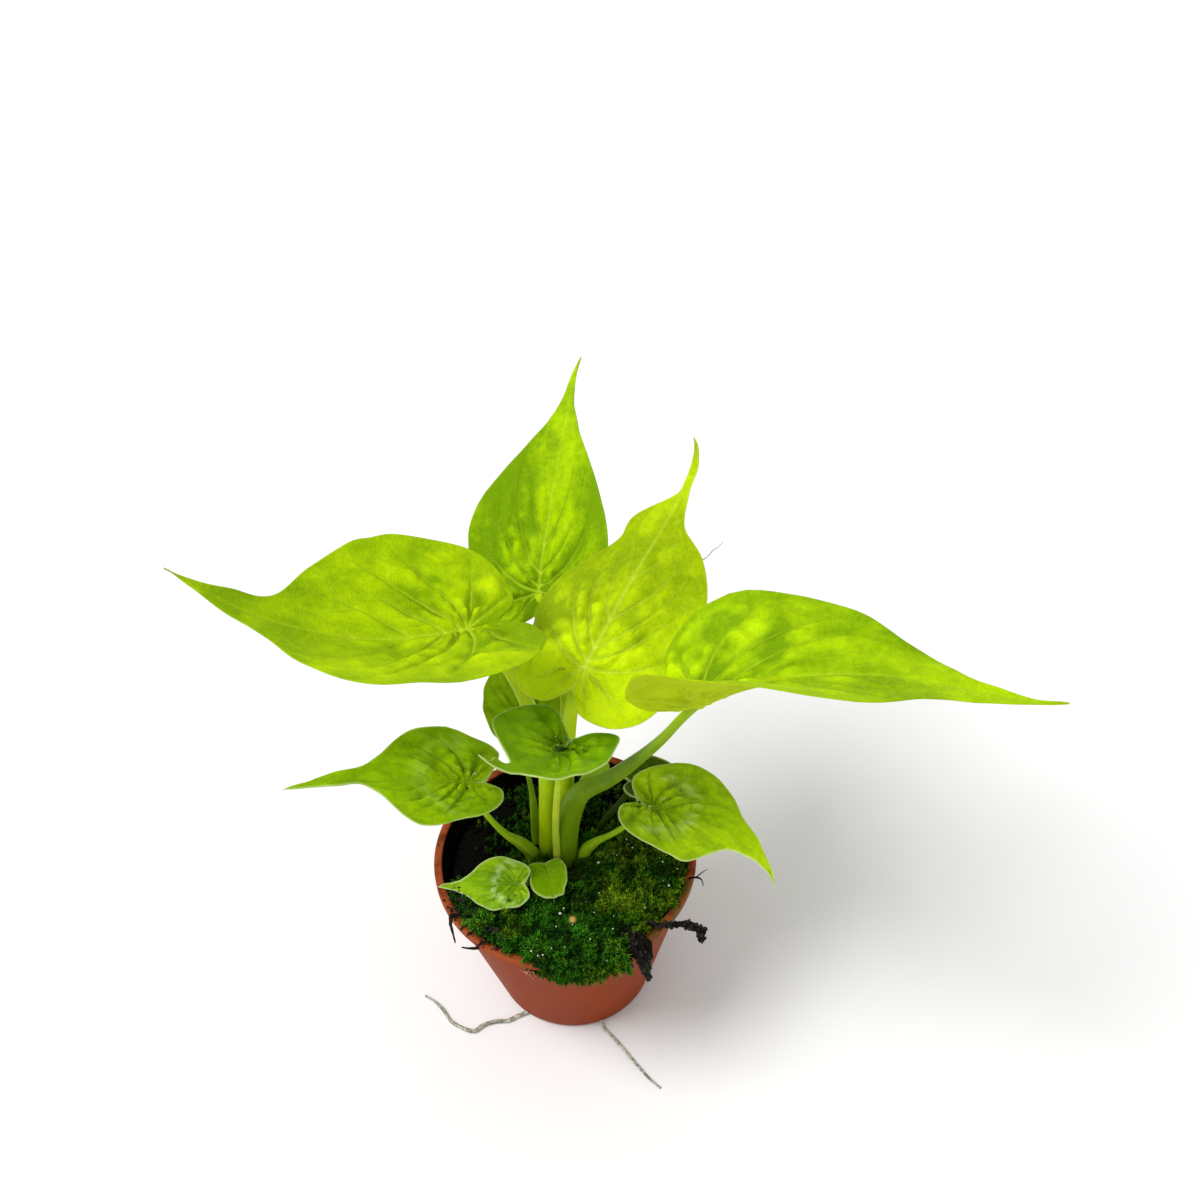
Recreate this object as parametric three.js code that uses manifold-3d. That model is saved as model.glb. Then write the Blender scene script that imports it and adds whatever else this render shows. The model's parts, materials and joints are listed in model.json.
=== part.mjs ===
// A potted golden Chinese taro: heart-shaped leaves on sheathed stalks, in a small plastic nursery pot.
// Millimetres, +Z up. The origin is the centre of the flat face under the pot.
import * as THREE from 'three';
import { mergeVertices } from 'three/addons/utils/BufferGeometryUtils.js';
import Module from 'manifold-3d';

const wasm = await Module();
wasm.setup();

// Driving dimensions
const GAP = 0.3;
const BLADE = 0.7;
const RIM_RADIUS = 30;
const BASE_RADIUS = 18;
const POT_HEIGHT = 45.5;
const POT_WALL = 1;
const POT_FLOOR = 1.2;
const BEAD_HEIGHT = 2;
const BEAD_DEPTH = 0.7;
const FOOT_CHAMFER = 1;
const LIP_CHAMFER = 0.3;
const DRAIN_RADIUS = 2;
const DRAIN_LENGTH = 6;
const DRAIN_ANGLES = [-131, -71, -11, 49, 109, 169];
const STEM = { x: -1.5, y: 3, radius: 6, bottom: 20, top: 32 };
const SOIL_LEVEL = 41;
const SOIL_DEPTH_UNDER_MOSS = 10;

// The half outline of a blade. Across the page: share of the length from the junction, share of the
// half width, and where the vein to that point leaves the midrib. `tip` is where the drip tip starts,
// `neck` its half width there, `lobe` the reach of the basal lobes, `joined` the share of it up to which
// the two lobes are one, and `full` rounds the shoulders.
const outline = ({ tip, neck, lobe, joined, full }) => [
  [-joined * lobe, 0, 0], [-0.97 * lobe, 0.30, 0], [-0.90 * lobe, 0.62, 0], [-0.35 * lobe, 0.88, 0],
  [0.10, 1.00, 0.02], [0.26, 0.97, 0.10], [0.62 * tip, 0.78 + 0.16 * full, 0.26],
  [0.84 * tip, 0.47 + 0.27 * full, 0.44],
  [tip, neck, 0.60], [tip + 0.35 * (1 - tip), 0.52 * neck, 0.76], [tip + 0.7 * (1 - tip), 0.22 * neck, 0.89],
  [1, 0, 1],
].map((values) => new THREE.Vector3(...values));

// The moss mat lies between two angles round the axis. Near `drapeAt` it hangs over the rim: it swells by
// `swell` from the radius `swellFrom` out, reaches `overhang` past the rim and goes `drape` down the wall.
const MOSS = {
  first: -172, last: 42, fade: 30, inner: 4, edge: 27, level: 46,
  drapeAt: -83, drapeHalf: 30, drape: 3.4, swell: 1.5, swellFrom: 18, overhang: 1.7,
};

// Roots that have grown out: two under the wall onto the ground, and two over the rim
const ROOTS = [
  {
    name: 'root_ground_left', material: 'root', radii: [0.6, 0.65, 0.55, 0.45],
    routes: [[[-11.6, -13.4, 1], [-15, -15.5, 0.9], [-19, -16.5, 0.7], [-24, -17.5, 0.7], [-28, -15.5, 0.6],
      [-32, -12, 0.6], [-36.5, -7, 0.5]]],
  },
  {
    name: 'root_ground_front', material: 'root', radii: [0.5, 0.5, 0.4],
    routes: [[[5.6, -16.4, 1], [6, -19.5, 0.8], [10.5, -26, 0.6], [15, -31.5, 0.5], [18.5, -36, 0.4]]],
  },
  {
    name: 'root_rim_right', material: 'darkRoot', radii: [0.7, 0.8, 0.7, 1, 0.6],
    routes: [[[14.5, -19, 44], [19, -21.8, 47.6], [23, -22.3, 48], [27, -22.4, 47.5], [30.5, -23.5, 46.5]],
      [[26, -22.4, 47.6], [28.5, -23.5, 47], [29.5, -25.5, 45.5]]],
  },
  {
    name: 'root_rim_front', material: 'darkRoot', radii: [1.3, 1.6, 1.4, 0.8],
    routes: [[[12.5, -21, 45.5], [14.5, -25.5, 48.2], [16.4, -28.4, 46.5], [16.8, -29.4, 42],
      [16.8, -29, 36.5]]],
  },
];

// What every leaf has unless it says otherwise. Angles are degrees, and the comments on midrib and
// bendPoint say what each one bends.
const COMMON = {
  azimuth: 0, pitch: 0, roll: 0, arch: -10, tipArch: 0, sweep: 0, tipSweep: 0, fold: 9, lean: 0,
  curl: 10, open: 0.3, lift: 25, tip: 0.67, neck: 0.21, lobe: 0.19, joined: 0.55, full: 0,
  rows: 24, columns: 4, steps: 14, sides: 8,
};

// Each leaf: where its blade meets its stalk, its blade's size and bends, and its stalk's route and radii.
const LEAVES = [
  {
    name: 'left', at: [-15.5, 6, 120], length: 65, width: 50, azimuth: 202, pitch: 9, roll: 8, arch: 34,
    sweep: -38, fold: 9, curl: 18, lift: 5, tip: 0.68, neck: 0.22, full: 0.3,
    route: [[-4, 2], [-3.9, 2, 45], [-3.3, 2.5, 56], [-2.6, 6, 76], [-6.8, 11, 94], [-11.8, 10.5, 108]],
    radii: [1.9, 1.9, 1.9, 1.7, 1.4, 1.1],
  },
  {
    name: 'back', at: [-1.8, 37, 94.7], length: 54, width: 35, azimuth: 73, pitch: 50, roll: -13, arch: -14,
    tipArch: -22, sweep: 1, tipSweep: 5, fold: 6.5, tip: 0.7, neck: 0.2, full: -0.1,
    route: [[-1.5, 9], [0.5, 14, 55], [2.5, 21.5, 70], [1.5, 30.5, 85]], radii: [1.9, 1.7, 1.4, 1.1],
  },
  {
    name: 'centre', at: [7.6, 3.5, 108], length: 60, width: 39, azimuth: 57, pitch: 21, roll: -3, arch: -24,
    tipArch: 112, sweep: 5, tipSweep: -20, fold: -14, curl: -7, lift: 9, tip: 0.64, neck: 0.2, lobe: 0.17,
    full: 0.6,
    route: [[-0.3, 5], [1.7, 4, 70], [3, 3.5, 85], [4.7, 3.5, 97]], radii: [2.2, 2, 1.7, 1.3],
  },
  {
    name: 'right', at: [30, -16, 118.5], length: 75, width: 46, azimuth: -8, pitch: 36, roll: -14, arch: -66,
    tipArch: 26, sweep: 8, tipSweep: 9, fold: 33, lean: -16, curl: 15, open: 1.6, lift: 9, tip: 0.68,
    neck: 0.25, lobe: 0.11,
    route: [[-0.4, 0], [0.1, 0, 46.6], [1.7, -0.4, 60], [4.9, -1.7, 71.2], [11.5, -3.5, 78.3],
      [17.9, -6.5, 88.7], [22.8, -10, 99.4], [26.9, -13, 109.8]],
    radii: [2.7, 2.8, 2.6, 1.9, 1.3, 1, 0.95],
  },
  {
    name: 'low', at: [2, -10, 98], length: 37, width: 27, azimuth: 243, pitch: 26, roll: -8, arch: 36,
    sweep: -12, tipSweep: -40, fold: 16, curl: 13, lift: 38, tip: 0.63, rows: 20, columns: 3,
    route: [[-1.9, -1.8], [-1.5, -2.6, 57], [-0.5, -5, 73], [0.5, -7.5, 84]], radii: [1.1, 1, 0.9, 0.8],
  },
  {
    name: 'shaded', at: [-6.6, 15, 75.5], length: 28, width: 17.5, azimuth: 98, pitch: 15,
    rows: 18, columns: 3,
    route: [[-6.5, 7.5], [-6.4, 8.5, 50], [-6.6, 10.5, 57], [-7.5, 13.5, 66]], radii: [1.1, 1, 0.8, 0.8],
  },
  {
    name: 'small_left', at: [-19.5, -4, 80.5], length: 40, width: 28, azimuth: 183, pitch: 16, roll: 4,
    arch: -3, tipArch: -28, tipSweep: 8, curl: 4, lift: 37, tip: 0.57, neck: 0.22, rows: 20, columns: 3,
    route: [[-6, 1.5], [-7, 1, 44], [-9.5, 0, 51], [-13, -1, 57], [-16.5, -3, 68]],
    radii: [1.6, 1.7, 1.6, 1.1, 0.9],
  },
  {
    name: 'small_right', at: [20.5, -1, 63], length: 35, width: 27, azimuth: -22, pitch: -3, roll: -9,
    arch: -11, tipArch: -67, sweep: -17, tipSweep: -19, fold: 7, curl: 8, lift: 21, tip: 0.64, neck: 0.24,
    rows: 20, columns: 3,
    route: [[3.4, -1], [4.2, -0.8, 46], [7, -1, 51], [12, -2, 56]], radii: [1.3, 1.6, 1.5, 1],
  },
  {
    name: 'small_back', at: [17.3, 10.5, 57.7], length: 17, width: 12.5, azimuth: 3,
    rows: 14, columns: 2,
    route: [[5, 6], [8.5, 7.5, 45], [13.5, 9.7, 51]], radii: [0.8, 0.8, 0.7],
  },
  {
    name: 'front', at: [-11, -10, 50], length: 19, width: 13, azimuth: 171, pitch: -5, roll: -28, arch: -11,
    tipArch: -9, sweep: -3, fold: 14, curl: 12, lift: 31, tip: 0.68, neck: 0.29, rows: 16, columns: 2,
    route: [[-4, -3], [-5, -5, 44], [-8, -8.5, 48]], radii: [0.8, 0.8, 0.7],
  },
  {
    name: 'round', at: [-4.3, -5.8, 49.1], length: 9, width: 8.8, azimuth: 280, pitch: 10, tip: 0.95,
    neck: 0.5, joined: 0.85, full: 1, rows: 14, columns: 2,
    route: [[-1.2, -3.3], [-2, -3.8, 41], [-3, -4.2, 45]], radii: [0.9, 0.8, 0.7],
  },
];

const radians = THREE.MathUtils.degToRad;

// Turns a geometry of loose triangles into one with shared corners and no empty triangles
function weld(geometry) {
  geometry.deleteAttribute('normal');
  geometry.deleteAttribute('uv');
  const merged = mergeVertices(geometry, 1e-4);
  const index = merged.index.array;
  const kept = [];
  for (let i = 0; i < index.length; i += 3) {
    const [a, b, c] = [index[i], index[i + 1], index[i + 2]];
    if (a !== b && b !== c && c !== a) kept.push(a, b, c);
  }
  merged.setIndex(kept);
  return merged;
}

function toSolid(geometry) {
  const welded = weld(geometry);
  return new wasm.Manifold(new wasm.Mesh({
    numProp: 3,
    vertProperties: new Float32Array(welded.attributes.position.array),
    triVerts: new Uint32Array(welded.index.array),
  }));
}

// The largest body of a solid, as a geometry: cutting can leave loose scraps beside it
function toGeometry(solid) {
  const bodies = solid.decompose().sort((a, b) => b.volume() - a.volume());
  const mesh = bodies[0].getMesh();
  const geometry = new THREE.BufferGeometry();
  geometry.setAttribute('position', new THREE.BufferAttribute(mesh.vertProperties, 3));
  geometry.setIndex(new THREE.BufferAttribute(mesh.triVerts, 1));
  return geometry;
}

function cut(solid, tools) {
  return tools.reduce((rest, tool) => rest.subtract(tool), solid);
}

// A closed body between two grids of points. A row that shrinks to a point is fine, `ring` joins the
// last column to the first, and `seam` says that the first row is folded on itself.
function slab(top, bottom, { ring = false, seam = false } = {}) {
  const corners = [];
  const face = (a, b, c, d) => corners.push(a, b, c, a, c, d);
  const rows = top.length - 1;
  const columns = top[0].length - 1;
  for (let i = 0; i < rows; i++) {
    for (let j = 0; j < columns; j++) {
      face(top[i][j], top[i + 1][j], top[i + 1][j + 1], top[i][j + 1]);
      face(bottom[i][j], bottom[i][j + 1], bottom[i + 1][j + 1], bottom[i + 1][j]);
    }
    if (!ring) {
      face(top[i][0], bottom[i][0], bottom[i + 1][0], top[i + 1][0]);
      face(top[i][columns], top[i + 1][columns], bottom[i + 1][columns], bottom[i][columns]);
    }
  }
  for (let j = 0; j < columns; j++) {
    if (!seam) face(top[0][j], top[0][j + 1], bottom[0][j + 1], bottom[0][j]);
    face(top[rows][j], bottom[rows][j], bottom[rows][j + 1], top[rows][j + 1]);
  }
  return weld(new THREE.BufferGeometry().setFromPoints(corners));
}

// Where a path ends that starts at an angle and turns at an even rate: how far along, and how far up
function arc(start, rate, length) {
  if (Math.abs(rate * length) < 1e-6) return [length * Math.cos(start), length * Math.sin(start)];
  const end = start + rate * length;
  return [(Math.sin(end) - Math.sin(start)) / rate, (Math.cos(start) - Math.cos(end)) / rate];
}

// The midrib as a row of places with the directions along, across to the left and above.
// `arch` raises it evenly and `sweep` swings it to the left, and `tipArch` and `tipSweep` do so in the
// drip tip only.
function midrib(leaf) {
  const steps = 60;
  const place = new THREE.Vector3();
  const frames = [];
  for (let i = 0; i <= steps; i++) {
    const share = i / steps;
    const tipShare = Math.max(0, (share - 0.9 * leaf.tip) / (1 - 0.9 * leaf.tip)) ** 1.5;
    const rise = radians(leaf.arch * share + leaf.tipArch * tipShare);
    const swing = radians(leaf.sweep * share + leaf.tipSweep * tipShare);
    const along = new THREE.Vector3(Math.cos(rise) * Math.cos(swing), Math.cos(rise) * Math.sin(swing),
      Math.sin(rise));
    const across = new THREE.Vector3(-Math.sin(swing), Math.cos(swing), 0);
    const above = along.clone().cross(across);
    if (i > 0) place.addScaledVector(frames[i - 1].along.clone().add(along), 0.5 * leaf.length / steps);
    frames.push({ place: place.clone(), along, across, above });
  }
  return frames;
}

function frameAt(frames, share) {
  const spot = THREE.MathUtils.clamp(share, 0, 1) * (frames.length - 1);
  const low = Math.min(Math.floor(spot), frames.length - 2);
  const mix = (key) => frames[low][key].clone().lerp(frames[low + 1][key], spot - low);
  return { place: mix('place'), along: mix('along'), across: mix('across'), above: mix('above') };
}

// Bends one point of the flat blade, `x` along and `y` to the left of the midrib, and lifts it by
// `height` off the middle of the blade. `fold` tilts each half up from the midrib, `lean` more on the
// left than on the right, `curl` bends it on to its margin, `open` is how fast both fade towards
// the tip, and `lift` turns the basal lobes up behind the junction.
function bendPoint(leaf, frames, x, y, height) {
  const share = x / leaf.length;
  const frame = frameAt(frames, share);
  const side = Math.sign(y);
  const kept = (1 - THREE.MathUtils.clamp(share, 0, 1)) ** leaf.open;
  const fold = radians(leaf.fold + side * leaf.lean) * kept;
  const rate = radians(leaf.curl) * kept / (leaf.width / 2);
  const angle = fold + rate * Math.abs(y);
  const [out, up] = arc(fold, rate, Math.abs(y));
  const behind = Math.max(-x, 0);
  const backRate = radians(leaf.lift) / (leaf.lobe * leaf.length);
  const [back, raise] = arc(0, backRate, behind);
  const turn = backRate * behind;
  const tall = side === 0 ? height / Math.cos(fold) : height * Math.cos(angle);
  return frame.place
    .addScaledVector(frame.across, side * (out - height * Math.sin(angle)))
    .addScaledVector(frame.above, up + raise + tall * Math.cos(turn))
    .addScaledVector(frame.along, tall * Math.sin(turn) - back);
}

// One face of a blade as a grid: rows run from between the lobes round them to the tip, columns from the
// right margin over the midrib to the left margin
function bladeGrid(leaf, height) {
  const margin = new THREE.CatmullRomCurve3(outline(leaf), false, 'catmullrom');
  const frames = midrib(leaf);
  const grid = [];
  for (let i = 0; i <= leaf.rows; i++) {
    const edge = margin.getPoint(i / leaf.rows);
    const row = [];
    for (let j = -leaf.columns; j <= leaf.columns; j++) {
      const share = Math.abs(j) / leaf.columns;
      const x = THREE.MathUtils.lerp(edge.z, edge.x, share) * leaf.length;
      const y = Math.sign(j) * edge.y * share * leaf.width / 2;
      row.push(bendPoint(leaf, frames, x, y, height));
    }
    grid.push(row);
  }
  return grid;
}

// A closed body through rings of points, with flat ends
function loft(rings) {
  const middle = (ring) => ring.reduce((sum, point) => sum.add(point), new THREE.Vector3())
    .divideScalar(ring.length);
  const loop = (ring) => [...ring, ring[0]];
  const shut = (point) => loop(rings[0]).map(() => point);
  const grid = [shut(middle(rings[0])), ...rings.map(loop), shut(middle(rings.at(-1)))];
  const corners = [];
  for (let i = 0; i < grid.length - 1; i++) {
    for (let j = 0; j < rings[0].length; j++) {
      corners.push(grid[i][j], grid[i][j + 1], grid[i + 1][j + 1]);
      corners.push(grid[i][j], grid[i + 1][j + 1], grid[i + 1][j]);
    }
  }
  return weld(new THREE.BufferGeometry().setFromPoints(corners));
}

function circle(place, right, forward, radius, sides) {
  return Array.from({ length: sides }, (_, i) => {
    const angle = (i / sides) * 2 * Math.PI;
    return place.clone().addScaledVector(right, radius * Math.cos(angle))
      .addScaledVector(forward, radius * Math.sin(angle));
  });
}

// Rings along a smooth path, with the radius eased from one given value to the next
function tubeRings(points, radii, steps, sides, grow = 0) {
  const path = new THREE.CatmullRomCurve3(points, false, 'catmullrom');
  const { normals, binormals } = path.computeFrenetFrames(steps, false);
  return normals.map((normal, i) => {
    const spot = (i / steps) * (radii.length - 1);
    const low = Math.min(Math.floor(spot), radii.length - 2);
    const radius = THREE.MathUtils.lerp(radii[low], radii[low + 1], spot - low) + grow;
    return circle(path.getPointAt(i / steps), normal, binormals[i], radius, sides);
  });
}

// Every part adds its meshes to this group
const model = new THREE.Group();

function addMesh(name, geometry, material, parent = model) {
  const mesh = new THREE.Mesh(geometry, material);
  mesh.name = name;
  parent.add(mesh);
  return mesh;
}

const paint = (color, roughness) => new THREE.MeshStandardMaterial({ color, roughness, metalness: 0 });
const MATERIALS = {
  pot: paint(0x8d4530, 0.55),
  soil: paint(0x1c1510, 0.95),
  moss: paint(0x2f4a16, 0.95),
  stem: paint(0x6d6a3c, 0.7),
  root: paint(0x8f8c84, 0.85),
  darkRoot: paint(0x1d1814, 0.9),
};
const BLADE_COLORS = {
  left: 0xa2c409, back: 0xa0bc07, centre: 0xc4e008, right: 0xa4c608, low: 0x6c9903, shaded: 0x658209,
  small_left: 0x82a408, small_right: 0x7ca207, small_back: 0x4e6a10, front: 0x699111, round: 0x6c9207,
};
const STALK_COLORS = {
  left: 0x89a305, back: 0x7c9d0c, centre: 0x89a305, right: 0x6a8a20, low: 0x99b024, shaded: 0x5f7d12,
  small_left: 0x6a8a20, small_right: 0x6a8a20, small_back: 0x8f9a5c, front: 0x5f7d12, round: 0x5f7d12,
};

// The radius of the outside of the tapered pot wall at a height
const wallRadius = (z) => THREE.MathUtils.lerp(BASE_RADIUS, RIM_RADIUS - BEAD_DEPTH, z / POT_HEIGHT);

// The pot wall's section turned round the axis: a tapered cup with a beaded rim. `grow` swells it.
function potGeometry(grow) {
  const inside = (z) => wallRadius(z) - POT_WALL - grow;
  const beadFoot = POT_HEIGHT - BEAD_HEIGHT;
  const profile = [
    [0, -grow], [BASE_RADIUS - FOOT_CHAMFER, -grow], [BASE_RADIUS + grow, FOOT_CHAMFER - grow],
    [wallRadius(beadFoot - BEAD_DEPTH) + grow, beadFoot - BEAD_DEPTH - grow],
    [RIM_RADIUS + grow, beadFoot - grow], [RIM_RADIUS + grow, POT_HEIGHT - LIP_CHAMFER],
    [RIM_RADIUS - LIP_CHAMFER, POT_HEIGHT + grow], [inside(POT_HEIGHT), POT_HEIGHT + grow],
    [inside(POT_FLOOR), POT_FLOOR + grow], [0, POT_FLOOR + grow],
  ];
  return new THREE.LatheGeometry(profile.map(([r, z]) => new THREE.Vector2(r, z)), 48).rotateX(Math.PI / 2);
}

// Drain holes are round notches across the corner between the wall and the floor
function drainTools() {
  return DRAIN_ANGLES.map((degrees) => toSolid(
    new THREE.CylinderGeometry(DRAIN_RADIUS, DRAIN_RADIUS, DRAIN_LENGTH, 14)
      .rotateZ(Math.PI / 2).translate(BASE_RADIUS, 0, FOOT_CHAMFER).rotateZ(radians(degrees)),
  ));
}

// The soil lies lower at the back, and is lumpy
function soilTop(x, y) {
  const slope = -0.05 * y;
  const lumps = 0.5 * Math.sin(0.9 * x + 0.4 * y) + 0.4 * Math.sin(0.8 * y - 0.5 * x + 1);
  return SOIL_LEVEL + slope + lumps;
}

// A grid of points on circles round the pot's axis. Each row is a function from the angle to a place
// [radius, height], and a full turn ends on the very points that it starts from.
function polarGrid(rows, degrees) {
  const fullTurn = degrees.at(-1) - degrees[0] === 360;
  return rows.map((row) => {
    const points = degrees.map((degree) => {
      const [radius, z] = row(degree);
      return new THREE.Vector3(radius * Math.cos(radians(degree)), radius * Math.sin(radians(degree)), z);
    });
    if (fullTurn) points[points.length - 1] = points[0];
    return points;
  });
}

const spread = (first, last, count) => Array.from({ length: count + 1 },
  (_, i) => first + ((last - first) * i) / count);

const soilAt = (radius, degree) => soilTop(
  radius * Math.cos(radians(degree)),
  radius * Math.sin(radians(degree)),
);

// The plug of soil, from a floor height up to the lumpy top raised by `lift`. `skirt` widens it past
// its edge, for cutting the moss that lies on it.
function soilPlug(floor, lift, skirt) {
  const edge = wallRadius(SOIL_LEVEL - 4) - POT_WALL - GAP;
  const degrees = spread(0, 360, 40);
  const shares = [0, 0.25, 0.5, 0.75, 1];
  const top = shares.map((share) => (degree) => [share * edge, soilAt(share * edge, degree) + lift]);
  const foot = skirt > 0 ? edge : wallRadius(floor) - POT_WALL - GAP - 0.1;
  const bottom = shares.map((share) => () => [share * foot, floor]);
  if (skirt > 0) {
    top.push((degree) => [edge + skirt, soilAt(edge, degree) + lift]);
    bottom.push(() => [edge + skirt, floor]);
  }
  return toSolid(slab(polarGrid(top, degrees), polarGrid(bottom, degrees), { ring: true }));
}

// The moss mat covers the front and the right of the soil, and thins out at both ends
const fade = (value, from, to) => THREE.MathUtils.smoothstep(value, from, to);
const mossBody = (degree) => fade(degree, MOSS.first, MOSS.first + MOSS.fade)
  * (1 - fade(degree, MOSS.last - MOSS.fade, MOSS.last));
const drapeShare = (degree) => {
  const away = THREE.MathUtils.clamp((degree - MOSS.drapeAt) / MOSS.drapeHalf, -1, 1);
  return Math.cos(0.5 * Math.PI * away) ** 0.6;
};

function mossTop(radius, degree) {
  const x = radius * Math.cos(radians(degree));
  const y = radius * Math.sin(radians(degree));
  const lumps = 0.7 * Math.sin(0.75 * x + 0.5 * y) + 0.6 * Math.sin(0.8 * y - 0.45 * x + 2);
  const swell = MOSS.swell * drapeShare(degree) * fade(radius, MOSS.swellFrom, MOSS.edge);
  return THREE.MathUtils.lerp(soilTop(x, y) + 1.5, MOSS.level + lumps, mossBody(degree)) + swell;
}

function mossGeometry(tools) {
  const degrees = spread(MOSS.first, MOSS.last, 42);
  const inside = wallRadius(POT_HEIGHT) - POT_WALL - 2 * GAP;
  const over = (degree) => THREE.MathUtils.lerp(inside, RIM_RADIUS + MOSS.overhang, drapeShare(degree));
  const drop = (degree) => MOSS.drape * drapeShare(degree);
  const shares = [0, 0.17, 0.34, 0.51, 0.68, 0.83];
  const radius = (share, degree) => THREE.MathUtils.lerp(MOSS.inner, over(degree), share);
  const place = (share, degree) => [radius(share, degree), mossTop(radius(share, degree), degree)];
  const top = shares.map((share) => (degree) => place(share, degree));
  const bottom = shares.map((share) => (degree) => [radius(share, degree), SOIL_LEVEL - 5]);
  const crown = (degree) => Math.max(mossTop(MOSS.edge, degree), mossBody(degree) * POT_HEIGHT);
  top.push((degree) => [radius(0.95, degree), crown(degree)]);
  bottom.push((degree) => [radius(0.95, degree), Math.min(SOIL_LEVEL, POT_HEIGHT - drop(degree))]);
  top.push((degree) => [over(degree), mossTop(MOSS.edge, degree) - 0.6 - 0.4 * drop(degree)]);
  bottom.push((degree) => [over(degree), POT_HEIGHT - 2 - drop(degree)]);
  return toGeometry(cut(toSolid(slab(polarGrid(top, degrees), polarGrid(bottom, degrees))), tools));
}

// A blade hangs at its junction, turned by its azimuth, pitch and roll
function addBlade(leaf) {
  const geometry = slab(bladeGrid(leaf, BLADE / 2), bladeGrid(leaf, -BLADE / 2), { seam: true });
  const mesh = addMesh(`blade_${leaf.name}`, geometry, paint(BLADE_COLORS[leaf.name], 0.45));
  mesh.position.set(...leaf.at);
  mesh.rotation.set(radians(leaf.roll), radians(-leaf.pitch), radians(leaf.azimuth), 'ZYX');
  mesh.updateMatrixWorld();
  return mesh;
}

// A stalk rises from the stem and ends in a flat seat under its blade's junction
function stalkSolid(leaf, blade, grow = 0) {
  const rib = midrib(leaf);
  const under = bendPoint(leaf, rib, 0, 0, -BLADE / 2);
  const droop = leaf.radii.at(-1) * Math.max(0, Math.sin(radians(-leaf.fold)));
  const seat = blade.localToWorld(under.add(new THREE.Vector3(0, 0, -GAP - droop)));
  const up = new THREE.Vector3(0, 0, 1).transformDirection(blade.matrixWorld);
  const foot = [...leaf.route[0], STEM.top + GAP];
  const points = [foot, ...leaf.route.slice(1)].map((values) => new THREE.Vector3(...values));
  const rings = tubeRings([...points, seat], leaf.radii, leaf.steps, leaf.sides, grow);
  rings[0].forEach((point) => point.setZ(STEM.top + GAP - grow));
  rings.at(-1).forEach((point) => point.addScaledVector(up, -up.dot(point.clone().sub(seat))));
  return toSolid(loft(rings));
}

function tube(points, radii, steps, sides, grow = 0) {
  const route = points.map((values) => new THREE.Vector3(...values));
  return toSolid(loft(tubeRings(route, radii, steps, sides, grow)));
}

// A root is one tube for each of its routes, joined
function branches(root, grow) {
  const tubes = root.routes.map((route) => tube(route, root.radii, 3 * route.length, 6, grow));
  return tubes.reduce((all, one) => all.add(one));
}

function stemSolid(grow) {
  const { radius, bottom, top } = STEM;
  const profile = [[0, bottom - grow], [0.6 * radius + grow, bottom - grow], [radius + grow, bottom + 4],
    [radius + grow, top + grow], [0, top + grow]];
  return toSolid(new THREE.LatheGeometry(profile.map(([r, z]) => new THREE.Vector2(r, z)), 20)
    .rotateX(Math.PI / 2).translate(STEM.x, STEM.y, 0));
}

// The leaves: an inner stalk stays whole, and the sheath of an outer one wraps round it
const leaves = LEAVES.map((own) => ({ ...COMMON, ...own }));
const grownStalks = [];
for (const leaf of leaves) {
  const blade = addBlade(leaf);
  const stalk = cut(stalkSolid(leaf, blade), grownStalks);
  addMesh(`stalk_${leaf.name}`, toGeometry(stalk), paint(STALK_COLORS[leaf.name], 0.5));
  grownStalks.push(stalkSolid(leaf, blade, GAP));
}

// The roots
const grownRoots = ROOTS.map((root) => branches(root, GAP));
for (const root of ROOTS) {
  addMesh(root.name, toGeometry(branches(root, 0)), MATERIALS[root.material]);
}

// The stem, the soil, the moss and the pot
addMesh('stem', toGeometry(stemSolid(0)), MATERIALS.stem);
const soil = cut(soilPlug(POT_FLOOR + GAP, 0, 0), [stemSolid(GAP), ...grownStalks, ...grownRoots]);
addMesh('soil', toGeometry(soil), MATERIALS.soil);
const raisedSoil = soilPlug(SOIL_LEVEL - SOIL_DEPTH_UNDER_MOSS, GAP, 6);
const mossTools = [raisedSoil, toSolid(potGeometry(GAP)), ...grownStalks, ...grownRoots];
addMesh('moss', mossGeometry(mossTools), MATERIALS.moss);
addMesh('pot', toGeometry(cut(toSolid(potGeometry(0)), drainTools())), MATERIALS.pot);

export default model;
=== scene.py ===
"""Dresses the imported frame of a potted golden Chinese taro, in metres, with the frame's own axes.

Every leaf surface is a function of two parameters: one runs round the margin from the cleft to the
drip tip, the other across from the right margin over the midrib to the left margin.
"""

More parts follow.
